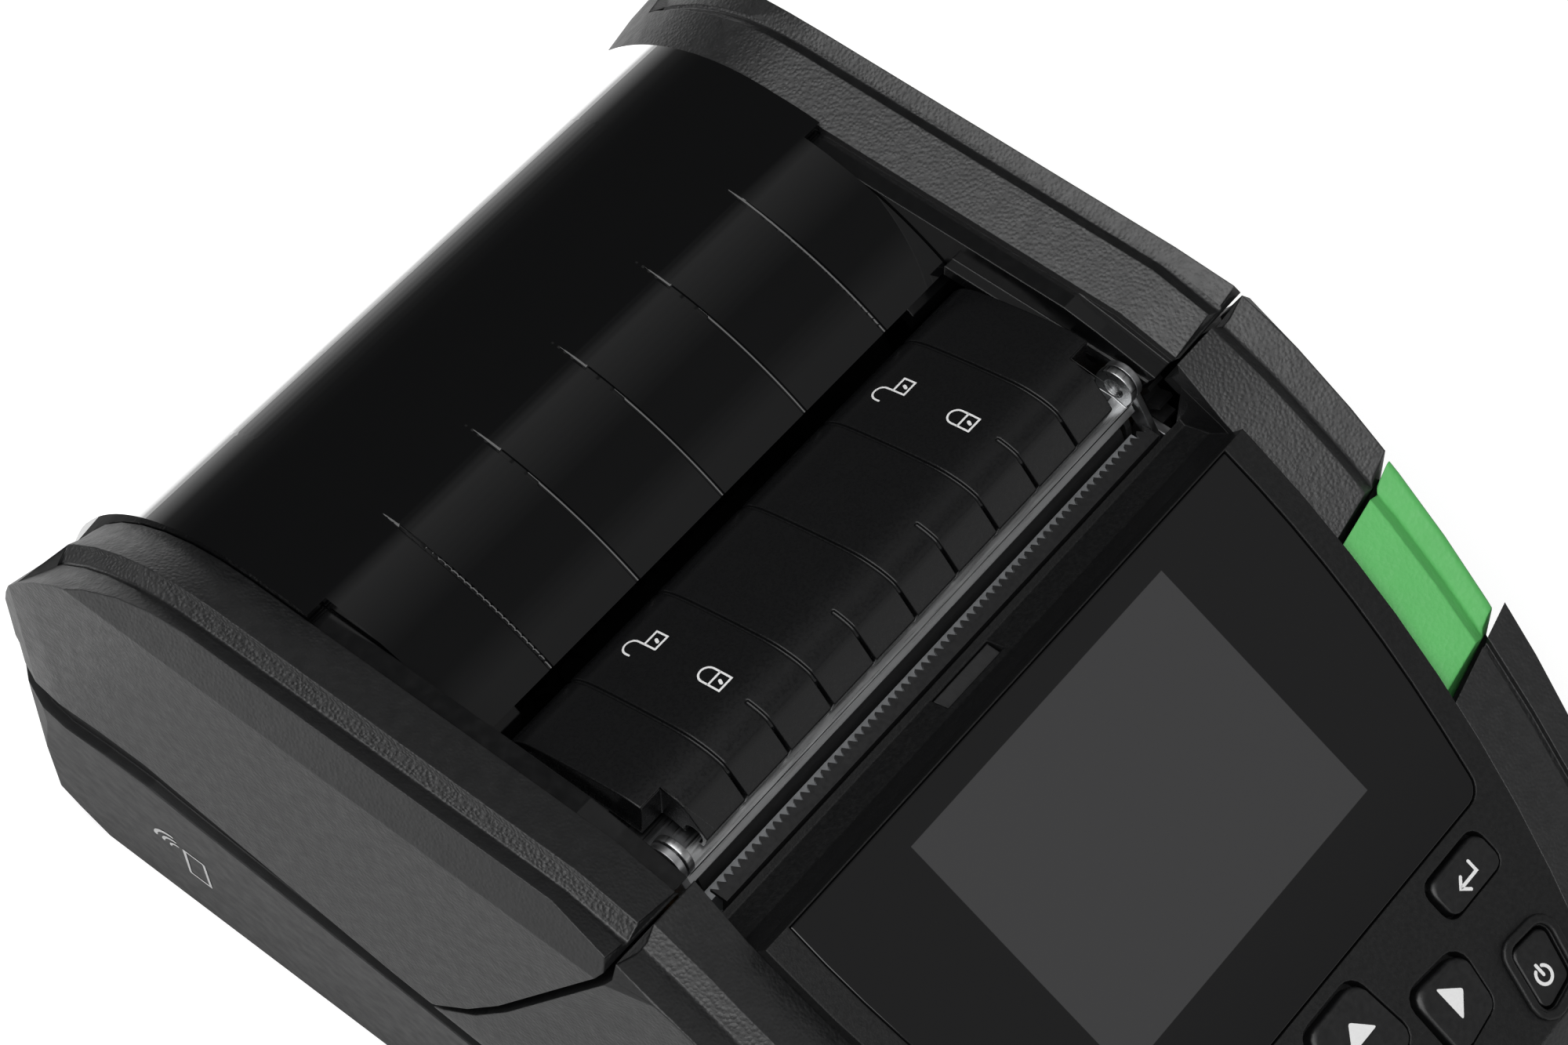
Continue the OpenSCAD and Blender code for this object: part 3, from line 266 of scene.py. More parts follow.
# Brightness by the ray's lean towards the back, in degrees from straight up. The front is negative
STUDIO = [(-90, 0.9), (-62, 0.36), (-50, 0.12), (-43, 0.3), (-33, 0.3), (-22, 0.13), (-8, 0.12), (-6, 0.15),
          (12, 0.42), (17, 0.08), (55, 0.06), (63, 0.06), (71, 0.09), (79, 0.2), (86, 1.0), (90, 1.6)]
brightness = add_node(sky, "ShaderNodeValToRGB")
ramp = brightness.color_ramp
for degrees, level in STUDIO[1:-1]:
    ramp.elements.new((degrees + 90) / 180)
for stop, (degrees, level) in zip(ramp.elements, STUDIO):
    stop.color = (level, level, level, 1)
sky.links.new(ranged(sky, towards_back, -math.pi / 2, math.pi / 2, 0, 1), brightness.inputs[0])
print("world stops", len(ramp.elements))

# %% White for the camera
studio_light = add_node(sky, "ShaderNodeBackground")
sky.links.new(brightness.outputs[0], studio_light.inputs["Color"])
plain_white = add_node(sky, "ShaderNodeBackground")
plain_white.inputs["Color"].default_value = (1, 1, 1, 1)
either = add_node(sky, "ShaderNodeMixShader")
sky.links.new(add_node(sky, "ShaderNodeLightPath").outputs["Is Camera Ray"], either.inputs[0])
sky.links.new(studio_light.outputs[0], either.inputs[1])
sky.links.new(plain_white.outputs[0], either.inputs[2])
sky.links.new(either.outputs[0], add_node(sky, "ShaderNodeOutputWorld").inputs["Surface"])

# %% Lamp
LAMP_PLACE = Vector((-640, -150, 1100))
bpy.ops.object.light_add(type="AREA", location=LAMP_PLACE * MM)
soft_box = bpy.context.object
soft_box.name = "soft box"
soft_box.data.shape = "RECTANGLE"
soft_box.data.size = 1440 * MM
soft_box.data.size_y = 1550 * MM
soft_box.data.energy = 21.0
straight_down = Vector((0, 0, -LAMP_PLACE.z))
soft_box.rotation_euler = straight_down.to_track_quat("-Z", "Y").to_euler()
soft_box.visible_camera = False
print("lamp", soft_box.data.energy)

# %% [markdown]
# ## Floor
# A plain white table. More light on it would also wash out the printer, so the table glows a little
# instead, by the kind of ray that meets it. The camera sees it run into the white background while the
# printer's soft shadow stays.

# %% Floor
bpy.ops.object.select_all(action="DESELECT")
bpy.ops.mesh.primitive_plane_add(size=6.0, location=(0, 0, 0))
floor = bpy.context.object
floor.name = "floor"
table_white = bpy.data.materials.new("table_white")
table_white.use_nodes = True
table = table_white.node_tree
paint = table.nodes["Principled BSDF"]
paint.inputs["Base Color"].default_value = (0.58, 0.58, 0.58, 1)
paint.inputs["Roughness"].default_value = 0.9
paint.inputs["Emission Color"].default_value = (1, 1, 1, 1)
floor.data.materials.append(table_white)
print("floor", floor.dimensions)

# %% [markdown]
# ## The table's glow
# The glow grows with distance for the camera, so that no grey horizon shows in a low view. Behind the
# printer, matt pieces mirror a pale table, and the polished window mirrors a bright sweep, which is the
# white line along its rear. The places are in metres from the printer's middle.

# %% Table glow
PRINTER_REAR = 0.1
path = add_node(table, "ShaderNodeLightPath")
spot = add_node(table, "ShaderNodeTexCoord").outputs["Object"]
across = add_node(table, "ShaderNodeSeparateXYZ")
table.links.new(spot, across.inputs[0])
back = across.outputs["Y"]
behind = maths(table, "GREATER_THAN", back, PRINTER_REAR)
pale = ranged(table, back, PRINTER_REAR, 0.4, 0.3, 0.8)
for_matt = maths(table, "MULTIPLY", pale, path.outputs["Is Glossy Ray"])
rise = ranged(table, back, PRINTER_REAR, 0.35, 2.5, 9.0)
fall = ranged(table, back, 0.4, 1.3, 1.0, 0.3)
for_window = maths(table, "MULTIPLY", maths(table, "MULTIPLY", rise, fall), path.outputs["Is Singular Ray"])
mirrored = maths(table, "MULTIPLY", maths(table, "ADD", for_matt, for_window), behind)
apart = add_node(table, "ShaderNodeVectorMath", operation="LENGTH")
table.links.new(spot, apart.inputs[0])
far = ranged(table, apart.outputs["Value"], 0.6, 2.0, 0.6, 1.0)
for_camera = maths(table, "MULTIPLY", path.outputs["Is Camera Ray"], far)
table.links.new(maths(table, "ADD", mirrored, for_camera), paint.inputs["Emission Strength"])
print("table nodes", len(table.nodes))

# %% [markdown]
# ## Finishes
# Each finish is a node material on Object coordinates, so the pattern keeps its real scale in metres on
# every piece and moves with it. `Finish` makes the base, and its steps add grain, speckle or brushing to
# the bump, the roughness and the colour. `dress` gives a finish to pieces by name.

# %% Finish helpers


class Finish:
    """A node material under construction: colour, roughness and bump are mixed in step by step."""

    def __init__(self, name, colour, rough, metal=0.0, gloss=0.5):
        self.material = bpy.data.materials.new(name)
        self.material.use_nodes = True
        self.material.diffuse_color = (*colour, 1)
        self.tree = self.material.node_tree
        self.shader = self.tree.nodes["Principled BSDF"]
        self.shader.inputs["Base Color"].default_value = (*colour, 1)
        self.shader.inputs["Roughness"].default_value = rough
        self.shader.inputs["Metallic"].default_value = metal
        self.shader.inputs["Specular IOR Level"].default_value = gloss
        self.base = colour
        self.place = self.add("ShaderNodeTexCoord").outputs["Object"]
        self.normal = None

    def add(self, kind, **settings):
        return add_node(self.tree, kind, **settings)

    def link(self, a, b):
        self.tree.links.new(a, b)

    def stretched(self, scale):
        """The piece's coordinates, scaled along each axis: a small scale draws a pattern out long."""
        mapping = self.add("ShaderNodeMapping")
        mapping.inputs["Scale"].default_value = scale
        self.link(self.place, mapping.inputs["Vector"])
        return mapping.outputs[0]

    def noise(self, size, detail=2.0, place=None):
        made = self.add("ShaderNodeTexNoise")
        made.inputs["Scale"].default_value = 1 / (size * MM)
        made.inputs["Detail"].default_value = detail
        self.link(place or self.place, made.inputs["Vector"])
        return made.outputs["Fac"]

    def cells(self, size, place=None, feature="F1"):
        made = self.add("ShaderNodeTexVoronoi", feature=feature)
        made.inputs["Scale"].default_value = 1 / (size * MM)
        self.link(place or self.place, made.inputs["Vector"])
        return made.outputs["Distance"]

    def bump(self, height, depth):
        """Adds a relief of so many millimetres to the one that is there."""
        made = self.add("ShaderNodeBump")
        made.inputs["Distance"].default_value = depth * MM
        self.link(height, made.inputs["Height"])
        if self.normal:
            self.link(self.normal, made.inputs["Normal"])
        self.normal = made.outputs[0]
        self.link(self.normal, self.shader.inputs["Normal"])

    def soft_corners(self, radius):
        made = self.add("ShaderNodeBevel", samples=6)
        made.inputs["Radius"].default_value = radius * MM
        self.normal = made.outputs[0]
        self.link(self.normal, self.shader.inputs["Normal"])

    def roughness(self, value, low, high):
        """Varies the roughness from low to high with a noise, most of which lies between 0.3 and 0.7."""
        self.link(ranged(self.tree, value, 0.3, 0.7, low, high), self.shader.inputs["Roughness"])

    def mixed(self, value, first, second):
        """Mixes the base colour between two others."""
        made = self.add("ShaderNodeMix", data_type="RGBA")
        colours = {"A": (*first, 1), "B": (*second, 1)}
        for socket in made.inputs:
            if socket.type == "RGBA":
                socket.default_value = colours[socket.name]
        self.link(value, made.inputs["Factor"])
        result = [s for s in made.outputs if s.type == "RGBA"][0]
        self.link(result, self.shader.inputs["Base Color"])

    def shade(self, value, dark, light):
        """Mixes between a darker and a lighter version of the base colour."""
        self.mixed(value, [c * dark for c in self.base], [c * light for c in self.base])


def dress(finish, *names):
    """Gives a finish to nodes or pieces by name."""
    for name in names:
        target = nodes[name] if name in nodes else bpy.data.objects[name]
        target.data.materials.clear()
        target.data.materials.append(finish.material)


# %% [markdown]
# ## Leather grain
# The bumpers and cheeks are moulded in charcoal with a leather grain: pebbles about half a millimetre
# wide with fine creases between them. Voronoi cells give the pebbles and a fine noise roughens their tops.

# %% Leather grain
leather = Finish("leather_grain", [0.0058, 0.0060, 0.0063], 0.42, gloss=0.68)
leather.soft_corners(0.25)
wobble = leather.noise(1.6, 2.0)
pebble = leather.cells(0.5)
leather.bump(ranged(leather.tree, pebble, 0.0, 0.7, 1.0, 0.0), 0.036)
leather.bump(leather.noise(0.18, 3.0), 0.016)
leather.roughness(wobble, 0.38, 0.48)
leather.shade(leather.noise(5.0, 3.0), 0.9, 1.1)

# %% [markdown]
# ## Charcoal base
# The lower shell has a finer, flatter texture than the bumpers, close to a matt sprayed surface.

# %% Charcoal base
shell_grey = Finish("charcoal_base", [0.0078, 0.0080, 0.0084], 0.48)
shell_grey.soft_corners(0.3)
shell_grey.bump(shell_grey.noise(0.3, 3.0), 0.018)
shell_grey.roughness(shell_grey.noise(2.0), 0.44, 0.54)
shell_grey.shade(shell_grey.noise(6.0, 3.0), 0.93, 1.07)

# %% [markdown]
# ## Black case
# The deck is black with an even spark-eroded grain, for which small cells are enough. The lever has a
# finer grain, and the carrier round the window is glossy.

# %% Black case
case_black = Finish("black_case", [0.0036, 0.0037, 0.0039], 0.4, gloss=0.4)
case_black.soft_corners(0.3)
case_black.bump(case_black.cells(0.26), 0.012)
case_black.roughness(case_black.noise(0.5), 0.36, 0.5)
case_black.shade(case_black.noise(4.0), 0.9, 1.12)
lever_black = Finish("black_lever", [0.0038, 0.0039, 0.0042], 0.28, gloss=0.4)
lever_black.soft_corners(0.2)
lever_black.bump(lever_black.noise(0.2, 3.0), 0.008)
lever_black.roughness(lever_black.noise(0.4), 0.24, 0.34)
lever_black.shade(lever_black.noise(3.0), 0.9, 1.1)

# %% Glossy carrier
rail_black = Finish("glossy_carrier", [0.0034, 0.0035, 0.0037], 0.18)
rail_black.soft_corners(0.25)
rail_black.bump(rail_black.noise(3.0), 0.01)
rail_black.roughness(rail_black.noise(1.5), 0.15, 0.24)
rail_black.shade(rail_black.noise(4.0), 0.9, 1.1)

# %% [markdown]
# ## Green rubber
# The accents are a softer rubber than the bumpers. A shallow cell pattern with a fine noise on it gives
# the dimpled skin, and the colour varies only a little.

# %% Green rubber
green = Finish("green_accent", [0.085, 0.40, 0.100], 0.46)
green.soft_corners(0.3)
green.bump(green.cells(0.6), 0.04)
green.bump(green.noise(0.22), 0.015)
green.roughness(green.noise(1.5), 0.46, 0.6)
green.shade(green.noise(4.0), 0.94, 1.05)

# %% [markdown]
# ## Gloss black and glass
# The roll cover is moulded in smoked plastic so dark that only its gloss shows. It is polished so finely
# that its reflections count as sharp, which is what the table's glow asks for. The display's lens is
# glossy black round a dark grey picture. The picture's edge is drawn on the deck's own tilted
# coordinates, so it stays exactly in place behind the glass.

# %% Smoked window
smoked = Finish("smoked_window", [0.0022, 0.0023, 0.0025], 0.003)
smoked.bump(smoked.noise(14.0, 1.0), 0.012)
smoked.shade(smoked.noise(20.0), 0.9, 1.1)

# %% The tilted deck
TILT = math.radians(28.3)
DECK = Vector((0, -42, 64.422))
UP_SLOPE = Vector((0, math.cos(TILT), math.sin(TILT)))
OUT = Vector((0, -math.sin(TILT), math.cos(TILT)))


def on_deck(x, s, n):
    """A place on the tilted deck: across, up the slope and out of it, in millimetres."""
    return DECK + Vector((x, 0, 0)) + UP_SLOPE * s + OUT * n


print("middle of the lens", on_deck(0, 0, 0))

# %% Display lens
PICTURE_HALF = (23.36, 17.52)
PICTURE_BLUR = 0.04
glass = Finish("display_lens", [0.012, 0.012, 0.013], 0.06)
turned = glass.add("ShaderNodeMapping", vector_type="TEXTURE")
turned.inputs["Location"].default_value = DECK * MM
turned.inputs["Rotation"].default_value = (TILT, 0, 0)
glass.link(glass.place, turned.inputs["Vector"])
split = glass.add("ShaderNodeSeparateXYZ")
glass.link(turned.outputs[0], split.inputs[0])


def within(socket, half):
    """1 inside plus or minus half, 0 outside, with a fine soft edge."""
    size = maths(glass.tree, "ABSOLUTE", socket)
    return ranged(glass.tree, size, (half - PICTURE_BLUR) * MM, (half + PICTURE_BLUR) * MM, 1, 0)


inside = maths(glass.tree, "MULTIPLY", within(split.outputs["X"], PICTURE_HALF[0]),
               within(split.outputs["Y"], PICTURE_HALF[1]))
glass.mixed(inside, (0.0035, 0.0035, 0.0038), (0.038, 0.038, 0.039))
glass.roughness(glass.noise(8.0, 3.0), 0.05, 0.075)

# %% [markdown]
# ## Keys and print
# The caps are a dense rubber with a barely visible grain. The marks are printed in white ink, whose
# slight unevenness is all the pattern they need.

# %% Key rubber and ink
key_black = Finish("key_rubber", [0.0045, 0.0046, 0.0049], 0.4)
key_black.bump(key_black.noise(0.18, 2.0), 0.006)
key_black.roughness(key_black.noise(0.8), 0.34, 0.46)
key_black.shade(key_black.noise(2.0), 0.9, 1.1)
print_white = Finish("white_print", [0.72, 0.72, 0.72], 0.5)
print_white.bump(print_white.noise(0.1), 0.002)
print_white.shade(print_white.noise(0.5), 0.95, 1.02)

# %% [markdown]
# ## Metals
# The pivot bar is bent from brushed sheet: long fine scratches along its length, so the bump is
# stretched across x. The bar's flat face gets a darker copy of the same steel than its ears: painted shade.
# Shafts and pins are turned, with rings round their axis.

# %% Brushed, plated and turned steel
brushed = Finish("brushed_steel", [0.42, 0.425, 0.43], 0.3, 1.0)
brushed.bump(brushed.noise(0.12, 3.0, brushed.stretched((0.03, 1, 1))), 0.004)
brushed.roughness(brushed.noise(0.3, 3.0, brushed.stretched((0.05, 1, 1))), 0.24, 0.42)
brushed.shade(brushed.noise(2.0), 0.92, 1.08)
steel = Finish("zinc_plated_steel", [0.46, 0.465, 0.475], 0.34, 1.0)
steel.soft_corners(0.15)
steel.bump(steel.noise(0.3, 3.0), 0.004)
steel.roughness(steel.noise(1.5, 3.0), 0.28, 0.44)
steel.shade(steel.noise(3.0), 0.88, 1.1)
turned_steel = Finish("turned_steel", [0.5, 0.505, 0.51], 0.22, 1.0)
turned_steel.bump(turned_steel.noise(0.1, 2.0, turned_steel.stretched((1, 0.05, 0.05))), 0.003)
turned_steel.roughness(turned_steel.noise(1.0), 0.18, 0.3)
turned_steel.shade(turned_steel.noise(2.0), 0.93, 1.06)
# A darker copy of the brushed steel for the bar's flat face: painted shade on the same metal.
bar_steel_painted_shade = Finish("bar_face_painted_shade", [0.11, 0.112, 0.115], 0.3, 1.0)
bar_steel_painted_shade.bump(bar_steel_painted_shade.noise(0.12, 3.0, bar_steel_painted_shade.stretched((0.03, 1, 1))), 0.004)
bar_steel_painted_shade.roughness(bar_steel_painted_shade.noise(0.3, 3.0, bar_steel_painted_shade.stretched((0.05, 1, 1))), 0.24, 0.42)

# %% Blackened and spring steel
dark_steel = Finish("blackened_steel", [0.012, 0.012, 0.0125], 0.4, 0.3)
dark_steel.bump(dark_steel.noise(0.15, 3.0, dark_steel.stretched((0.05, 1, 1))), 0.003)
dark_steel.roughness(dark_steel.noise(0.5), 0.34, 0.48)
dark_steel.shade(dark_steel.noise(2.0), 0.9, 1.1)
spring = Finish("spring_steel", [0.33, 0.335, 0.35], 0.3, 1.0)
spring.bump(spring.noise(0.08), 0.002)
spring.roughness(spring.noise(0.6), 0.25, 0.38)
spring.shade(spring.noise(1.0), 0.9, 1.08)

# %% Bronze, gold and the motor's can
brass = Finish("bearing_bronze", [0.42, 0.25, 0.09], 0.38, 1.0)
brass.bump(brass.noise(0.12, 3.0), 0.004)
brass.roughness(brass.noise(0.7), 0.3, 0.46)
brass.shade(brass.noise(1.2), 0.85, 1.1)
gold = Finish("gold_contacts", [0.7, 0.47, 0.16], 0.25, 1.0)
gold.bump(gold.noise(0.2), 0.002)
gold.roughness(gold.noise(0.6), 0.2, 0.34)
gold.shade(gold.noise(0.8), 0.92, 1.05)
can = Finish("motor_can", [0.3, 0.3, 0.31], 0.42, 1.0)
can.soft_corners(0.2)
can.bump(can.noise(0.25, 3.0), 0.006)
can.roughness(can.noise(1.0), 0.34, 0.52)
can.shade(can.noise(2.5), 0.85, 1.1)

# %% [markdown]
# ## Rubber and inner plastics
# Most of these pieces show only when the cover is open. The platen's rubber is ground, so its grain is
# drawn out along the roller. The inner plastics are plain black mouldings.

# %% Rubber and inner plastics
roller_rubber = Finish("platen_rubber", [0.01, 0.01, 0.0105], 0.62)
roller_rubber.bump(roller_rubber.noise(0.09, 2.0, roller_rubber.stretched((0.2, 1, 1))), 0.006)
roller_rubber.roughness(roller_rubber.noise(0.5), 0.55, 0.72)
roller_rubber.shade(roller_rubber.noise(1.2), 0.9, 1.15)
flap_rubber = Finish("flap_rubber", [0.008, 0.0082, 0.0086], 0.56)
flap_rubber.soft_corners(0.3)
flap_rubber.bump(flap_rubber.noise(0.25, 3.0), 0.012)
flap_rubber.roughness(flap_rubber.noise(1.0), 0.54, 0.68)
flap_rubber.shade(flap_rubber.noise(3.0), 0.9, 1.1)
gear_black = Finish("gear_plastic", [0.006, 0.006, 0.0064], 0.5)
gear_black.bump(gear_black.noise(0.3, 2.0), 0.005)
gear_black.roughness(gear_black.noise(0.8), 0.36, 0.5)
gear_black.shade(gear_black.noise(2.0), 0.93, 1.04)
inner_black = Finish("inner_plastic", [0.007, 0.0071, 0.0075], 0.5)
inner_black.soft_corners(0.2)
inner_black.bump(inner_black.noise(0.35, 3.0), 0.010)
inner_black.roughness(inner_black.noise(0.9), 0.44, 0.58)
inner_black.shade(inner_black.noise(3.0), 0.9, 1.12)
ceramic = Finish("printhead_ceramic", [0.32, 0.33, 0.34], 0.4, 0.6)
ceramic.bump(ceramic.noise(0.2, 2.0), 0.004)
ceramic.roughness(ceramic.noise(1.0), 0.32, 0.5)
ceramic.shade(ceramic.noise(2.0), 0.9, 1.08)
screen = Finish("display_module", [0.06, 0.062, 0.066], 0.35)
screen.bump(screen.cells(0.2), 0.002)
screen.roughness(screen.noise(1.0), 0.3, 0.42)
screen.shade(screen.noise(2.0), 0.94, 1.05)

# %% [markdown]
# ## Circuit boards
# Green lacquer over copper tracks. The borders between Voronoi cells, seen from above, pass for tracks
# at this size.

# %% Circuit boards
board = Finish("circuit_board", [0.012, 0.075, 0.035], 0.4)
tracks = board.cells(2.6, board.stretched((1, 1, 0.01)), "DISTANCE_TO_EDGE")
board.bump(ranged(board.tree, tracks, 0.02, 0.06, 1, 0), 0.02)
board.roughness(board.noise(1.2), 0.34, 0.5)
board.shade(ranged(board.tree, tracks, 0.03, 0.07, 1, 0), 0.9, 1.9)
print("finishes", len(bpy.data.materials))

# %% [markdown]
# ## The roll cover's window
# One smooth sheet of smoked plastic, bent over three arcs from the rear to the lever. Its front part is
# narrower, because a ledge runs on each side of it. Five fine grooves fade in towards the front. A single
# edge is spun about each arc's centre in turn, so that the sheet is truly round and its reflections run
# clean. The grooves are bevelled in, and Solidify gives the wall.

# %% Window outline
# Half the width, half the width of the front part, the y where that part begins, and the grooves' pitch
HALF = 45.8
FRONT_HALF = 42.8
NOTCH_Y = 41.2
PITCH = 15.25

# Each arc is its centre's y, its centre's z and its radius. The low arc ends and the top one begins at LEAN
LOW = (54.0, 28.0, 37.2)
TOP = (49.741, 47.6, 33.6)
CREST = (46.0, 31.2, 50.0)
LEAN = 22.6
FRONT_Y = 18.9
REAR_Z = 39.6


def round_point(arc, degrees):
    turn = math.radians(degrees)
    return arc[0] + arc[2] * math.cos(turn), arc[1] + arc[2] * math.sin(turn)


def crest_angle(y):
    """The angle at which the crest's arc reaches y, in degrees."""
    return 90 + math.degrees(math.asin((CREST[0] - y) / CREST[2]))


def spin_row(piece, wanted, arc, start, end, steps):
    """Spins the chosen row about an arc's centre, from one angle to the other."""
    choose(piece, wanted)
    bpy.ops.mesh.spin(steps=steps, angle=math.radians(start - end), center=(0, arc[0] * MM, arc[1] * MM),
                      axis=(1, 0, 0), use_auto_merge=False)
    leave()


start_angle = math.degrees(math.asin((REAR_Z - LOW[1]) / LOW[2]))
first = round_point(LOW, start_angle)
bpy.ops.object.select_all(action="DESELECT")
bpy.ops.mesh.primitive_plane_add(size=2 * HALF * MM, location=(0, first[0] * MM, first[1] * MM))
window = bpy.context.object
window.name = "roll_window"
bpy.ops.object.transform_apply(location=True, rotation=True, scale=True)
choose(window, lambda x, y, z: y > first[0])
bpy.ops.mesh.delete(type="VERT")
bpy.ops.mesh.select_all(action="SELECT")
bpy.ops.transform.translate(value=(0, HALF * MM, 0))
bpy.ops.mesh.subdivide(number_cuts=7)
leave()
ROW = (-HALF, -FRONT_HALF, -2 * PITCH, -PITCH, 0, PITCH, 2 * PITCH, FRONT_HALF, HALF)
for vertex, x in zip(sorted(window.data.vertices, key=lambda v: v.co.x), ROW):
    vertex.co.x = x * MM
print("first row at", first, "which is at", start_angle, "degrees")

# %% Window sheet


def near(row_point):
    return lambda x, y, z: abs(y - row_point[0]) < 0.02 and abs(z - row_point[1]) < 0.02


def draw_row(piece, start, end):
    """Extrudes the row at start in a straight line to end."""
    choose(piece, near(start))
    step = Vector((0, end[0] - start[0], end[1] - start[1])) * MM
    bpy.ops.mesh.extrude_region_move(TRANSFORM_OT_translate={"value": step})
    leave()


spin_row(window, near(first), LOW, start_angle, LEAN, 6)
draw_row(window, round_point(LOW, LEAN), round_point(TOP, LEAN))
spin_row(window, near(round_point(TOP, LEAN)), TOP, LEAN, 90, 40)
draw_row(window, round_point(TOP, 90), round_point(CREST, 90))
spin_row(window, near(round_point(CREST, 90)), CREST, 90, crest_angle(NOTCH_Y), 5)
spin_row(window, near(round_point(CREST, crest_angle(NOTCH_Y))), CREST, crest_angle(NOTCH_Y),
         crest_angle(FRONT_Y), 24)
choose(window, lambda x, y, z: abs(x) > FRONT_HALF + 1 and y < NOTCH_Y - 0.2)
bpy.ops.mesh.delete(type="VERT")
leave()
only(window)
bpy.ops.object.mode_set(mode="EDIT")
bpy.ops.mesh.select_all(action="SELECT")
bpy.ops.mesh.remove_doubles(threshold=0.002 * MM)
bpy.ops.mesh.normals_make_consistent(inside=False)
leave()
print("window vertices", len(window.data.vertices))

# %% Window grooves
# A groove gets one step deeper in front of each of these places, so that it fades in
DEEPER_BEFORE = (44.6, 43.6, 42.6, 41.5, 39.5, 37.5, 35.5, 33.5)
DEPTH_STEP = 0.045
GROOVE_HALF = 0.36
GROOVES_WITHIN = 40


def choose_edges(piece, wanted):
    """Selects the edges whose two ends are both wanted."""
    only(piece)
    bpy.ops.object.mode_set(mode="EDIT")
    bpy.ops.mesh.select_mode(type="EDGE")
    bpy.ops.mesh.select_all(action="DESELECT")
    bpy.ops.object.mode_set(mode="OBJECT")
    count = 0
    for edge in piece.data.edges:
        ends = [piece.data.vertices[i].co / MM for i in edge.vertices]
        edge.select = all(wanted(*end) for end in ends)
        count += edge.select
    bpy.ops.object.mode_set(mode="EDIT")
    return count


def by_groove(x, reach):
    """Whether a place lies within reach of a groove. None is near the window's sides."""
    return abs(x) < GROOVES_WITHIN and abs(x - round(x / PITCH) * PITCH) < reach


count = choose_edges(window, lambda x, y, z: by_groove(x, 0.02))
bpy.ops.mesh.bevel(offset=GROOVE_HALF * MM, offset_type="OFFSET", segments=4, affect="EDGES", profile=0.5)
leave()
for limit in DEEPER_BEFORE:
    choose(window, lambda x, y, z: y < limit and by_groove(x, 0.25))
    bpy.ops.transform.shrink_fatten(value=-DEPTH_STEP * MM)
    leave()
print("groove edges", count)

# %% Window wall
only(window)
wall = window.modifiers.new("wall", "SOLIDIFY")
wall.thickness = 1.9 * MM
wall.offset = -1
bpy.ops.object.modifier_apply(modifier=wall.name)
smooth(window, 50)
settle(window, "cover", "smoked_window", "cover_window")
print("window faces", len(window.data.polygons))

# %% [markdown]
# ## Rims, bumpers and accents
# Along each side of the printer runs a band with a groove in it. In the CAD the groove is narrow and
# square. On the real moulding it is a V with a long slope inside and a ridge that leans inwards outside,
# and the band itself leans in. The rows of vertices along the groove are moved by hand, each chosen by
# how far out it lies and how deep, because that keeps the outline that the CAD has.

# %% Finding the rows
# The bands stand this much above the window and the deck
SKIN = 0.8

# The y and z of two bends in the bands' outline, and the cosine of the slope between them
CROWN = (-4.0, 82.0)
BROW = (-12.8, 80.0)
BROW_COSINE = 0.975

# From where to where the outline counts as level, and the z below which the rear keeps its form
LEVEL_Y = (-13.2, 49.8)
REAR_FOOT = 49.5

# Forward of its y the band curves inwards, about a point as far over the middle as the x
CURVE = (95.8, -25.0)


def out_from_middle(x, y, side):
    """How far out a place lies, measured square to the rim, which curves inwards towards the front."""
    return x * side if y > CURVE[1] - 0.05 else math.hypot(x * side + CURVE[0], y - CURVE[1]) - CURVE[0]


def depth_under_skin(y, z):
    """How far a place lies under the body's upper outline, in millimetres."""
    if y > TOP[0]:
        return TOP[2] + SKIN - math.hypot(y - TOP[0], z - TOP[1])
    if y > CROWN[0]:
        return CROWN[1] - z
    if y > BROW[0] - 0.1:
        rise = (CROWN[1] - BROW[1]) / (CROWN[0] - BROW[0])
        return (BROW[1] + (y - BROW[0]) * rise - z) * BROW_COSINE
    return max(SKIN - Vector((0, y - DECK.y, z - DECK.z)).dot(OUT), 0.0)


def sink_row(piece, wanted, by):
    """Lowers a row of the top square to the skin: along the deck, level, and round the rear."""
    count = shift(piece, lambda x, y, z: y < LEVEL_Y[0] and wanted(x, y, z), -OUT * by)
    count += shift(piece, lambda x, y, z: LEVEL_Y[0] <= y <= LEVEL_Y[1] and wanted(x, y, z), (0, 0, -by))
    choose(piece, lambda x, y, z: y > LEVEL_Y[1] and z > REAR_FOOT and wanted(x, y, z))
    shrink = (TOP[2] + SKIN - by) / (TOP[2] + SKIN)
    bpy.ops.transform.resize(value=(1, shrink, shrink), center_override=(0, TOP[0] * MM, TOP[1] * MM))
    leave()
    return count


# %% Shaping the bands
# The groove's width in the CAD, and how far its rows and the band's inner edge are moved
GROOVE_WIDTH = 1.2
LIP_INWARDS = 0.9
LIP_FOLLOWS = 0.6
BOTTOM_OUTWARDS = 0.95
RIDGE_OUTWARDS = 0.45
BAND_DROP = 2.0


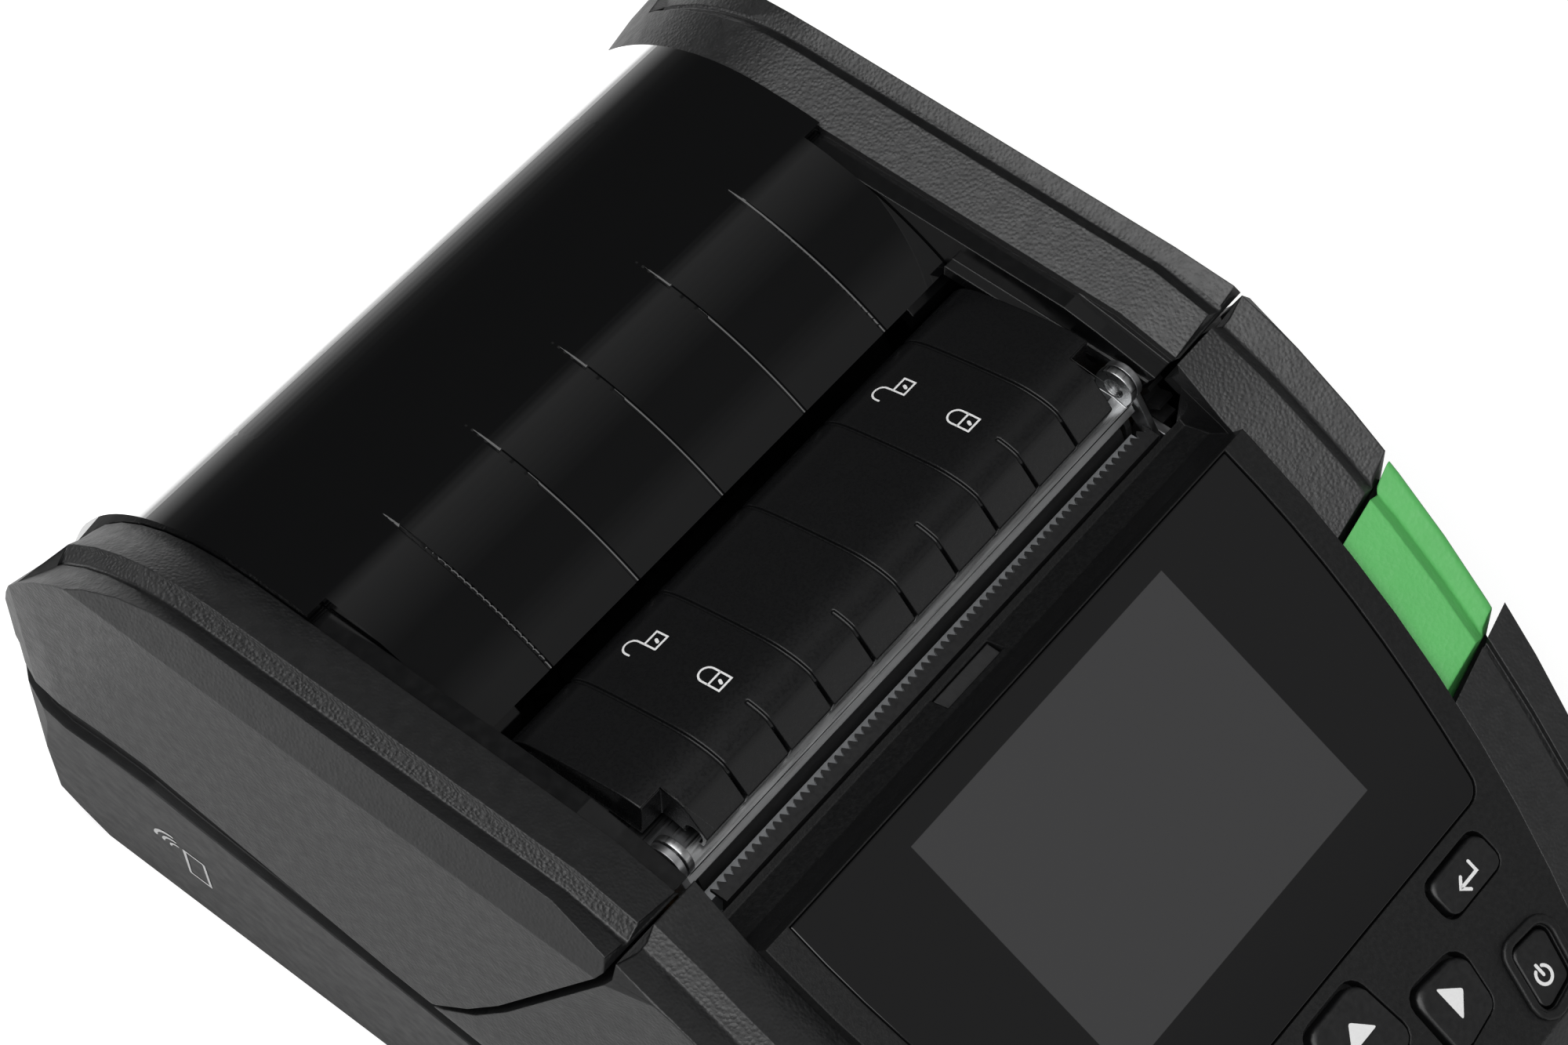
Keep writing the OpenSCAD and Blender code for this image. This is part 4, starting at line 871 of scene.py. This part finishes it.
def widen_groove(piece, inner, side, lean, out):
    """Opens the groove into a V whose bottom moves out by so much and whose ridge is lowered by lean."""
    outer = inner + GROOVE_WIDTH

    def is_deep(y, z):
        # The bumpers' rear ends dip below the skin, so the groove's lips lie lower there
        return depth_under_skin(y, z) > (1.2 if -13.6 < y < -12.95 else 0.6)

    def row(place, deep):
        return lambda x, y, z: abs(out_from_middle(x, y, side) - place) < 0.12 and is_deep(y, z) == deep

    def bottom(x, y, z):
        rows = row(inner + BOTTOM_OUTWARDS + out, True), row(outer + out, True)
        return any(in_row(x, y, z) for in_row in rows) and depth_under_skin(y, z) < 2.0

    shift(piece, row(inner, False), ((LIP_FOLLOWS * out - LIP_INWARDS) * side, 0, 0))
    shift(piece, row(inner, True), ((BOTTOM_OUTWARDS + out) * side, 0, 0))
    shift(piece, row(outer, True), (out * side, 0, 0))
    shift(piece, row(outer, False), ((RIDGE_OUTWARDS + out) * side, 0, 0))
    # The further the ridge leans in, the deeper is the bottom beside it
    sink_row(piece, bottom, (lean - 0.7) * 0.7)
    sink_row(piece, row(outer + RIDGE_OUTWARDS + out, False), lean)


def sink_inner_edge(piece, edge, side):
    """Lowers the band's inner top edge, so the band leans inwards."""

    def on_edge(x, y, z):
        return abs(out_from_middle(x, y, side) - edge) < 0.15 and depth_under_skin(y, z) < 0.35

    return sink_row(piece, on_edge, BAND_DROP)


# %% Rolling the shoulder
# The outer wall lies further out than this. Its top leans in slightly where it runs beside the cheek
WALL_OUT = 54.9
BESIDE_CHEEK = (-18, -13)
FULL_LEAN = 1.5
SLIGHT_LEAN = 0.5
SHOULDER_ROLL = 1.3


def roll_shoulder(piece, side):
    """Draws the top of a bumper's outer wall inwards and rolls it over, less so beside the cheek."""

    def on_shoulder(x, y, z):
        return out_from_middle(x, y, side) > WALL_OUT and depth_under_skin(y, z) < 1.0

    def in_front(x, y, z):
        return y < BESIDE_CHEEK[0] and on_shoulder(x, y, z)

    def beside_cheek(x, y, z):
        return BESIDE_CHEEK[0] <= y < BESIDE_CHEEK[1] and on_shoulder(x, y, z)

    shift(piece, in_front, (-FULL_LEAN * side, 0, 0))
    shift(piece, beside_cheek, (-SLIGHT_LEAN * side, 0, 0))
    roll_edges(piece, lambda a, b: float(in_front(*a) and in_front(*b)), SHOULDER_ROLL, 7)


# %% Making the bands


def rim_piece(node, name, slot, edge, groove, lean, out):
    """A band's piece, with the place of its inner edge and of its groove's inner wall."""
    piece = merged_copy(node, name)
    side = -1 if node.endswith("left") else 1
    widen_groove(piece, groove, side, lean, out)
    count = sink_inner_edge(piece, edge, side)
    if not node.startswith("cover"):
        roll_shoulder(piece, side)
    round_edges(piece, 0.4, 14)
    print(name, "edge vertices sunk", count, "faces", len(piece.data.polygons))
    return settle(piece, nodes[node]["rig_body"], slot, node)


for kind, name, slot, edge, groove, lean, out in (
    ("cover_cheek_", "rim_", "cheek_plastic", 45.9, 53.1, 1.0, 0.0),
    ("bumper_", "side_bumper_", "bumper_rubber", 44.2, 51.6, 1.3, 0.6),
    ("accent_", "green_accent_", "accent_rubber", 44.2, 51.6, 1.3, 0.6),
):
    for hand in ("left", "right"):
        rim_piece(kind + hand, name + hand, slot, edge, groove, lean, out)

# %% [markdown]
# ## Small mouldings
# The front bumper, the lens, the collar, the battery's case and the port's flap have the right form
# already, and only need the radius that a mould leaves.

# %% Lens and small mouldings
for node, name, slot, width in (
    ("bumper_front", "front_bumper", "bumper_rubber", 0.45),
    ("display_lens", "lens_pane", "lens", 0.25),
    ("power_ring", "power_collar", "case_plastic", 0.3),
    ("battery_pack", "battery_case", "case_plastic", 0.5),
    ("port_cover", "port_flap", "bumper_rubber", 0.4),
):
    made = soft_copy(node, name, slot, width)
    print(name, len(made.data.polygons))

# %% [markdown]
# ## The lever
# The lever is one crisp moulding, so its edges get a very small radius. Its nose ends short of the bar's
# ears: the rows of vertices at both ends of the nose are moved inwards.

# %% Lever
NOSE_END = (38.6, 39.0)
NOSE_SHORTER = 1.4
lever = merged_copy("latch_lever", "lever_bar")
for side in (-1, 1):
    inwards = (-NOSE_SHORTER * side, 0, 0)
    nose_end = shift(lever, lambda x, y, z: NOSE_END[0] < x * side < NOSE_END[1], inwards)
round_edges(lever, 0.16, 30, 2, clamp=False)
settle(lever, "lever", "case_plastic", "latch_lever")
print("lever faces", len(lever.data.polygons), "nose end", nose_end)

# %% [markdown]
# ## The steel bar and the tear bar
# The bar's front lip is filed to a slant, which shows as a bright line along it. The lever's pins stop
# inside the ears, so each ear shows an open hole. On the tear bar the flanks facing -x get a painted
# highlight.

# %% Pivot bar
LIP_Y = -10.4
LIP_Z = (71.2, 72.2)
bar = merged_copy("platen_bracket", "pivot_bar")
lip = shift(bar, lambda x, y, z: abs(y - LIP_Y) < 0.05 and LIP_Z[0] < z < LIP_Z[1], (0, 1.0, 0.08))
round_edges(bar, 0.12, 30, 2, clamp=False)
settle(bar, "cover", "steel", "platen_bracket")
print("lip vertices", lip)

# %% Pins and teeth
PIN_INNER_END = (30, 40)
PIN_SHORTER = 5.9
pins = merged_copy("lever_pins", "pivot_pins")
for side in (-1, 1):
    outwards = (PIN_SHORTER * side, 0, 0)
    shift(pins, lambda x, y, z: PIN_INNER_END[0] < x * side < PIN_INNER_END[1], outwards)
only(pins)
bpy.ops.object.shade_smooth_by_angle(angle=math.radians(40))
settle(pins, "lever", "steel", "lever_pins")
teeth = merged_copy("tear_bar", "tear_teeth", 0.001)
settle(teeth, "base", "steel", "tear_bar")
print("teeth faces", len(teeth.data.polygons))

# %% [markdown]
# ## Keys
# Each rubber cap rolls off deeply along its upper edge and a little on its left, so that a finger
# finds it. The other edges are crisp. The bevel's weight on each edge sets how far it rolls. The caps sit
# a little low and to the right in their openings and are a touch smaller, so the gap is wider above
# and on the left. The two keys in a collar fill it.

# %% Rolling a cap's edges
# A cap's height above the deck, the width of its roll, its share of the CAD's size, and its place
CAP_HEIGHT = 0.79
CAP_ROLL = 1.3
CAP_SIZE = 0.955
CAP_ASIDE = 0.13
CAP_LOWER = 0.15


def flat_place(place):
    """Across and up the deck, and the height above it, in millimetres."""
    from_deck = place - DECK
    return Vector((from_deck.x, from_deck.dot(UP_SLOPE), from_deck.dot(OUT)))


def key_roll(centre, deepest):
    """Gives each edge of a cap's top its share of the roll: most on the upper side, a little on the left."""

    def share(a, b):
        ends = [flat_place(a), flat_place(b)]
        if min(ends[0].z, ends[1].z) < 0.5:
            return 0.0
        run = (ends[1] - ends[0]).normalized()
        away = Vector((run.y, -run.x, 0))
        if away.dot((ends[0] + ends[1]) / 2 - centre) < 0:
            away = -away
        return 0.12 + 0.88 * deepest * max(0.0, away.dot(Vector((-0.3, 0.95, 0))))

    return share


# %% Caps
KEYS = ("key_up", "key_left", "key_right", "key_down", "key_enter", "key_menu", "key_power", "key_feed")
for node in KEYS:
    cap = merged_copy(node, node + "_cap")
    in_collar = node in ("key_power", "key_feed")
    top = [place for place in (flat_place(v.co / MM) for v in cap.data.vertices) if place.z > 0.5]
    roll_edges(cap, key_roll(sum(top, Vector()) / len(top), 0.5 if in_collar else 1.0), CAP_ROLL, 6)
    if not in_collar:
        shift(cap, lambda x, y, z: True, Vector((CAP_ASIDE, 0, 0)) - UP_SLOPE * CAP_LOWER)
        lower_right = on_deck(max(p.x for p in top), min(p.y for p in top), CAP_HEIGHT)
        choose(cap, lambda x, y, z: True)
        bpy.ops.transform.resize(value=(CAP_SIZE,) * 3, center_override=lower_right * MM)
        leave()
    smooth(cap, 40)
    settle(cap, nodes[node]["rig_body"], "key_rubber", node)
    print(node, len(cap.data.polygons))

# %% [markdown]
# ## Printed marks
# The marks are pad-printed pictograms: arrows on the keys, padlocks on the lever and a tap sign on the
# side. Each is drawn as closed outlines, filled as a flat curve and laid a hair above its surface.

# %% Drawing the marks


def pen(path, width):
    """The outline of a stroke with round ends, in millimetres."""
    points = [Vector(p) for p in path]
    sides = []
    for i, point in enumerate(points):
        before = (point - points[i - 1]).normalized() if i else (points[1] - point).normalized()
        after = (points[i + 1] - point).normalized() if i + 1 < len(points) else before
        middle = (before + after).normalized()
        reach = width / 2 / max(middle.dot(before), 0.5)
        sides.append(Vector((-middle.y, middle.x)) * reach)

    def round_end(centre, start):
        return [centre + Matrix.Rotation(-math.pi * k / 8, 2) @ start for k in range(1, 8)]

    left = [p + side for p, side in zip(points, sides)]
    right = [p - side for p, side in zip(points, sides)]
    return left + round_end(points[-1], sides[-1]) + right[::-1] + round_end(points[0], -sides[0])


def rounded(corners, radius, steps=4):
    """A closed outline with its corners rounded."""
    outline = []
    for i, corner in enumerate(corners):
        corner = Vector(corner)
        start = corner + (Vector(corners[i - 1]) - corner).normalized() * radius
        end = corner + (Vector(corners[(i + 1) % len(corners)]) - corner).normalized() * radius
        for k in range(steps + 1):
            t = k / steps
            outline.append(start * (1 - t) ** 2 + corner * 2 * t * (1 - t) + end * t ** 2)
    return outline


def round_path(centre, radius, start, end, steps=16):
    """Points along an arc, from one angle to the other in degrees."""
    turns = [math.radians(start + (end - start) * k / steps) for k in range(steps + 1)]
    return [(centre[0] + radius * math.cos(t), centre[1] + radius * math.sin(t)) for t in turns]


def mark(name, groups, place, body, slot, surface=None):
    """Each group is a list of outlines: the first is filled and the others are cut out of it."""
    made = []
    for group in groups:
        drawing = bpy.data.curves.new(name, "CURVE")
        drawing.dimensions = "2D"
        drawing.fill_mode = "BOTH"
        for outline in group:
            line = drawing.splines.new("POLY")
            line.points.add(len(outline) - 1)
            for point, (x, y) in zip(line.points, outline):
                point.co = (x * MM, y * MM, 0, 1)
            line.use_cyclic_u = True
        piece = bpy.data.objects.new(name, drawing)
        bpy.context.collection.objects.link(piece)
        piece.matrix_world = place
        only(piece)
        bpy.ops.object.convert(target="MESH")
        made.append(bpy.context.object)
    for piece in made:
        piece.select_set(True)
    if len(made) > 1:
        bpy.ops.object.join()
    piece = bpy.context.object
    piece.name = name
    bpy.ops.object.transform_apply(location=True, rotation=True, scale=True)
    if surface:
        bpy.ops.object.mode_set(mode="EDIT")
        bpy.ops.mesh.select_all(action="SELECT")
        bpy.ops.mesh.subdivide(number_cuts=3)
        leave()
        wrap = piece.modifiers.new("laid on", "SHRINKWRAP")
        wrap.target = surface
        wrap.wrap_method = "NEAREST_SURFACEPOINT"
        wrap.wrap_mode = "ABOVE_SURFACE"
        wrap.offset = 0.03 * MM
        bpy.ops.object.modifier_apply(modifier=wrap.name)
    ink = piece.modifiers.new("ink", "SOLIDIFY")
    ink.thickness = 0.02 * MM
    ink.offset = 0
    bpy.ops.object.modifier_apply(modifier=ink.name)
    settle(piece, body, slot)
    dress(print_white, name)
    return piece


def deck_place(x, s, n):
    return Matrix.Translation(on_deck(x, s, n) * MM) @ Matrix.Rotation(TILT, 4, "X")


# %% Arrows on the keys
KEY_TOP = CAP_HEIGHT + 0.015
arrow = rounded([(-2.45, -1.4), (2.45, -1.4), (0, 1.4)], 0.45)


def turned_by(outline, degrees):
    turn = Matrix.Rotation(math.radians(degrees), 2)
    return [turn @ Vector(p) for p in outline]


for name, x, s, turn in (("up", 0.8, -34.5, 0), ("right", 13.3, -41.0, -90),
                         ("left", -13.3, -41.0, 90), ("down", 0, -46.6, 180)):
    drawing = [[turned_by(arrow, turn)]]
    mark("mark_" + name, drawing, deck_place(x, s, KEY_TOP), "button_" + name, "key_rubber")

# %% Other marks on the keys
STROKE = 0.42
hook = pen([(1.6, 0.9), (1.6, -0.55), (-1.4, -0.55)], STROKE)
barb = pen([(-0.6, 0.4), (-1.62, -0.55), (-0.6, -1.5)], STROKE)
mark("mark_enter", [[hook], [barb]], deck_place(25.0, -32.9, KEY_TOP), "button_enter", "key_rubber")
ring = pen(round_path((0, 0), 1.12, 122, 418, 28), STROKE)
stem = pen([(0, 1.45), (0, 0.05)], STROKE)
mark("mark_power", [[ring], [stem]], deck_place(23.65, -47.55, KEY_TOP), "button_power", "key_rubber")
bars = [[pen([(-1.4, y), (1.4, y)], STROKE)] for y in (-0.8, 0, 0.8)]
mark("mark_menu", bars, deck_place(-24.8, -32.6, KEY_TOP), "button_menu", "key_rubber")
sheet = rounded([(-0.9, -1.2), (0.9, -1.2), (0.9, 0.3), (-0.9, 0.3)], 0.2)
tip = rounded([(-0.9, 0.75), (0.9, 0.75), (0, 1.6)], 0.2)
mark("mark_feed", [[sheet], [tip]], deck_place(-24.2, -46.9, KEY_TOP), "button_feed", "key_rubber")

# %% [markdown]
# ## Padlocks on the lever
# An open and a closed padlock stand on each half of the lever. The lever's top is curved, so they are
# drawn flat above it, cut finely and laid onto it with Shrinkwrap.

# %% Padlocks on the lever
LINE = 0.26
box = [rounded([(-1.24, -0.95), (1.24, -0.95), (1.24, 0.95), (-1.24, 0.95)], 0.08),
       rounded([(-0.98, -0.69), (0.98, -0.69), (0.98, 0.69), (-0.98, 0.69)], 0.05)]
keyhole = [pen([(0.1, 0.05), (-0.1, -0.3)], STROKE)]
closed = pen([(1.11, 0.9)] + round_path((0, 1.75), 1.11, 0, 180) + [(-1.11, 0.9)], LINE)
opened = pen([(-1.11, 0.9)] + round_path((-2.2, 1.75), 1.09, 0, 180, 14) + [(-3.29, 1.3)], LINE)
for side, unlock_x, lock_x in (("left", -21.7, -22.6), ("right", 23.7, 22.8)):
    for name, x, y, z, slope, shackle in (("unlock", unlock_x, 10.8, 76.3, -17, opened),
                                          ("lock", lock_x, 0.75, 78.8, -9, closed)):
        place = Matrix.Translation(Vector((x, y, z)) * MM) @ Matrix.Rotation(math.radians(slope), 4, "X")
        mark("mark_%s_%s" % (name, side), [box, keyhole, [shackle]], place, "lever", "case_plastic", lever)

# %% [markdown]
# ## Tap sign on the side
# A card with three waves, printed on the left wall. It is drawn as seen from outside: across is towards
# the front and up is up. The wall leans in a little towards its foot, and so does the drawing's plane.

# %% Tap sign
WALL_X = -55.30
WALL_Z = 13.95
WALL_LEAN = 0.143
card = [rounded([(-59.7, 9.2), (-55.9, 9.2), (-57.2, 0), (-61.1, 0)], 0.3),
        rounded([(-59.2, 8.8), (-56.4, 8.8), (-57.6, 0.4), (-60.65, 0.4)], 0.2)]
waves = [[pen(round_path((-60.2, 6.6), r, 170, 100, 12), w)] for r, w in ((4.6, 0.6), (3.3, 0.5), (2.1, 0.4))]
wall_place = Matrix.Translation(Vector((WALL_X, 0, WALL_Z)) * MM) @ Matrix(
    ((0, -WALL_LEAN, -0.99, 0), (-1, 0, 0, 0), (0, 0.99, -WALL_LEAN, 0), (0, 0, 0, 1)))
mark("mark_tap", [card] + waves, wall_place, "base", "case_plastic")

# %% [markdown]
# ## Dressing
# Every piece and every CAD node that stays in view gets its finish. The pivot bar and the tear bar have
# two: the bar's face gets a darker steel as painted shade, and the teeth's flanks facing -x a painted
# highlight.

# %% Outer pieces
dress(leather, "side_bumper_left", "side_bumper_right", "front_bumper", "rim_left", "rim_right")
dress(green, "green_accent_left", "green_accent_right")
dress(shell_grey, "base_shell", "battery_case")
dress(case_black, "top_housing", "battery_latch", "power_collar")
dress(rail_black, "cover_frame")
dress(lever_black, "lever_bar")
dress(smoked, "roll_window")
dress(glass, "lens_pane")
dress(key_black, "keypad_mat", *[node + "_cap" for node in KEYS])
dress(flap_rubber, "port_flap")

# %% Pieces with two finishes
# Where the bar's face gets its painted shade, and above what height the teeth's flanks get their painted
# highlight
SHADED_FACE_HALF = 39.7
SHADED_FACE_REAR = -9.35
HIGHLIGHT_FLANK_FOOT = 69.9
dress(brushed, "pivot_bar")
# The bar's flat face takes the darker copy of the steel: painted shade.
bar.data.materials.append(bar_steel_painted_shade.material)
for face in bar.data.polygons:
    face.material_index = int(abs(face.center.x) < SHADED_FACE_HALF * MM and face.center.y > SHADED_FACE_REAR * MM)
dress(dark_steel, "tear_teeth")
# Tooth flanks turned towards -x above the foot get the bright steel as a painted highlight; the rest stays
# dark.
teeth.data.materials.append(brushed.material)
for face in teeth.data.polygons:
    face.material_index = int(face.normal.x < -0.3 and face.center.z > HIGHLIGHT_FLANK_FOOT * MM)
print("bright tooth faces", sum(face.material_index for face in teeth.data.polygons))

# %% Inner pieces
dress(steel, "print_chassis", "latch_hooks", "case_screws", "cover_screws", "port_connectors")
dress(turned_steel, "platen_shaft", "head_pin", "idler_axle", "hinge_pin", "pivot_pins")
dress(spring, "head_springs", "hinge_spring", "lever_spring")
dress(brass, "platen_bearings", "motor_pinion")
dress(gold, "battery_contacts")
dress(can, "stepper_motor")
dress(roller_rubber, "platen_roller")
dress(gear_black, "platen_gear", "idler_gear", "guide_pinion")
dress(inner_black, "media_guide_left", "media_guide_right", "label_sensor", "taken_sensor")
dress(ceramic, "printhead")
dress(screen, "display_module")
dress(board, "main_board", "keypad_board")
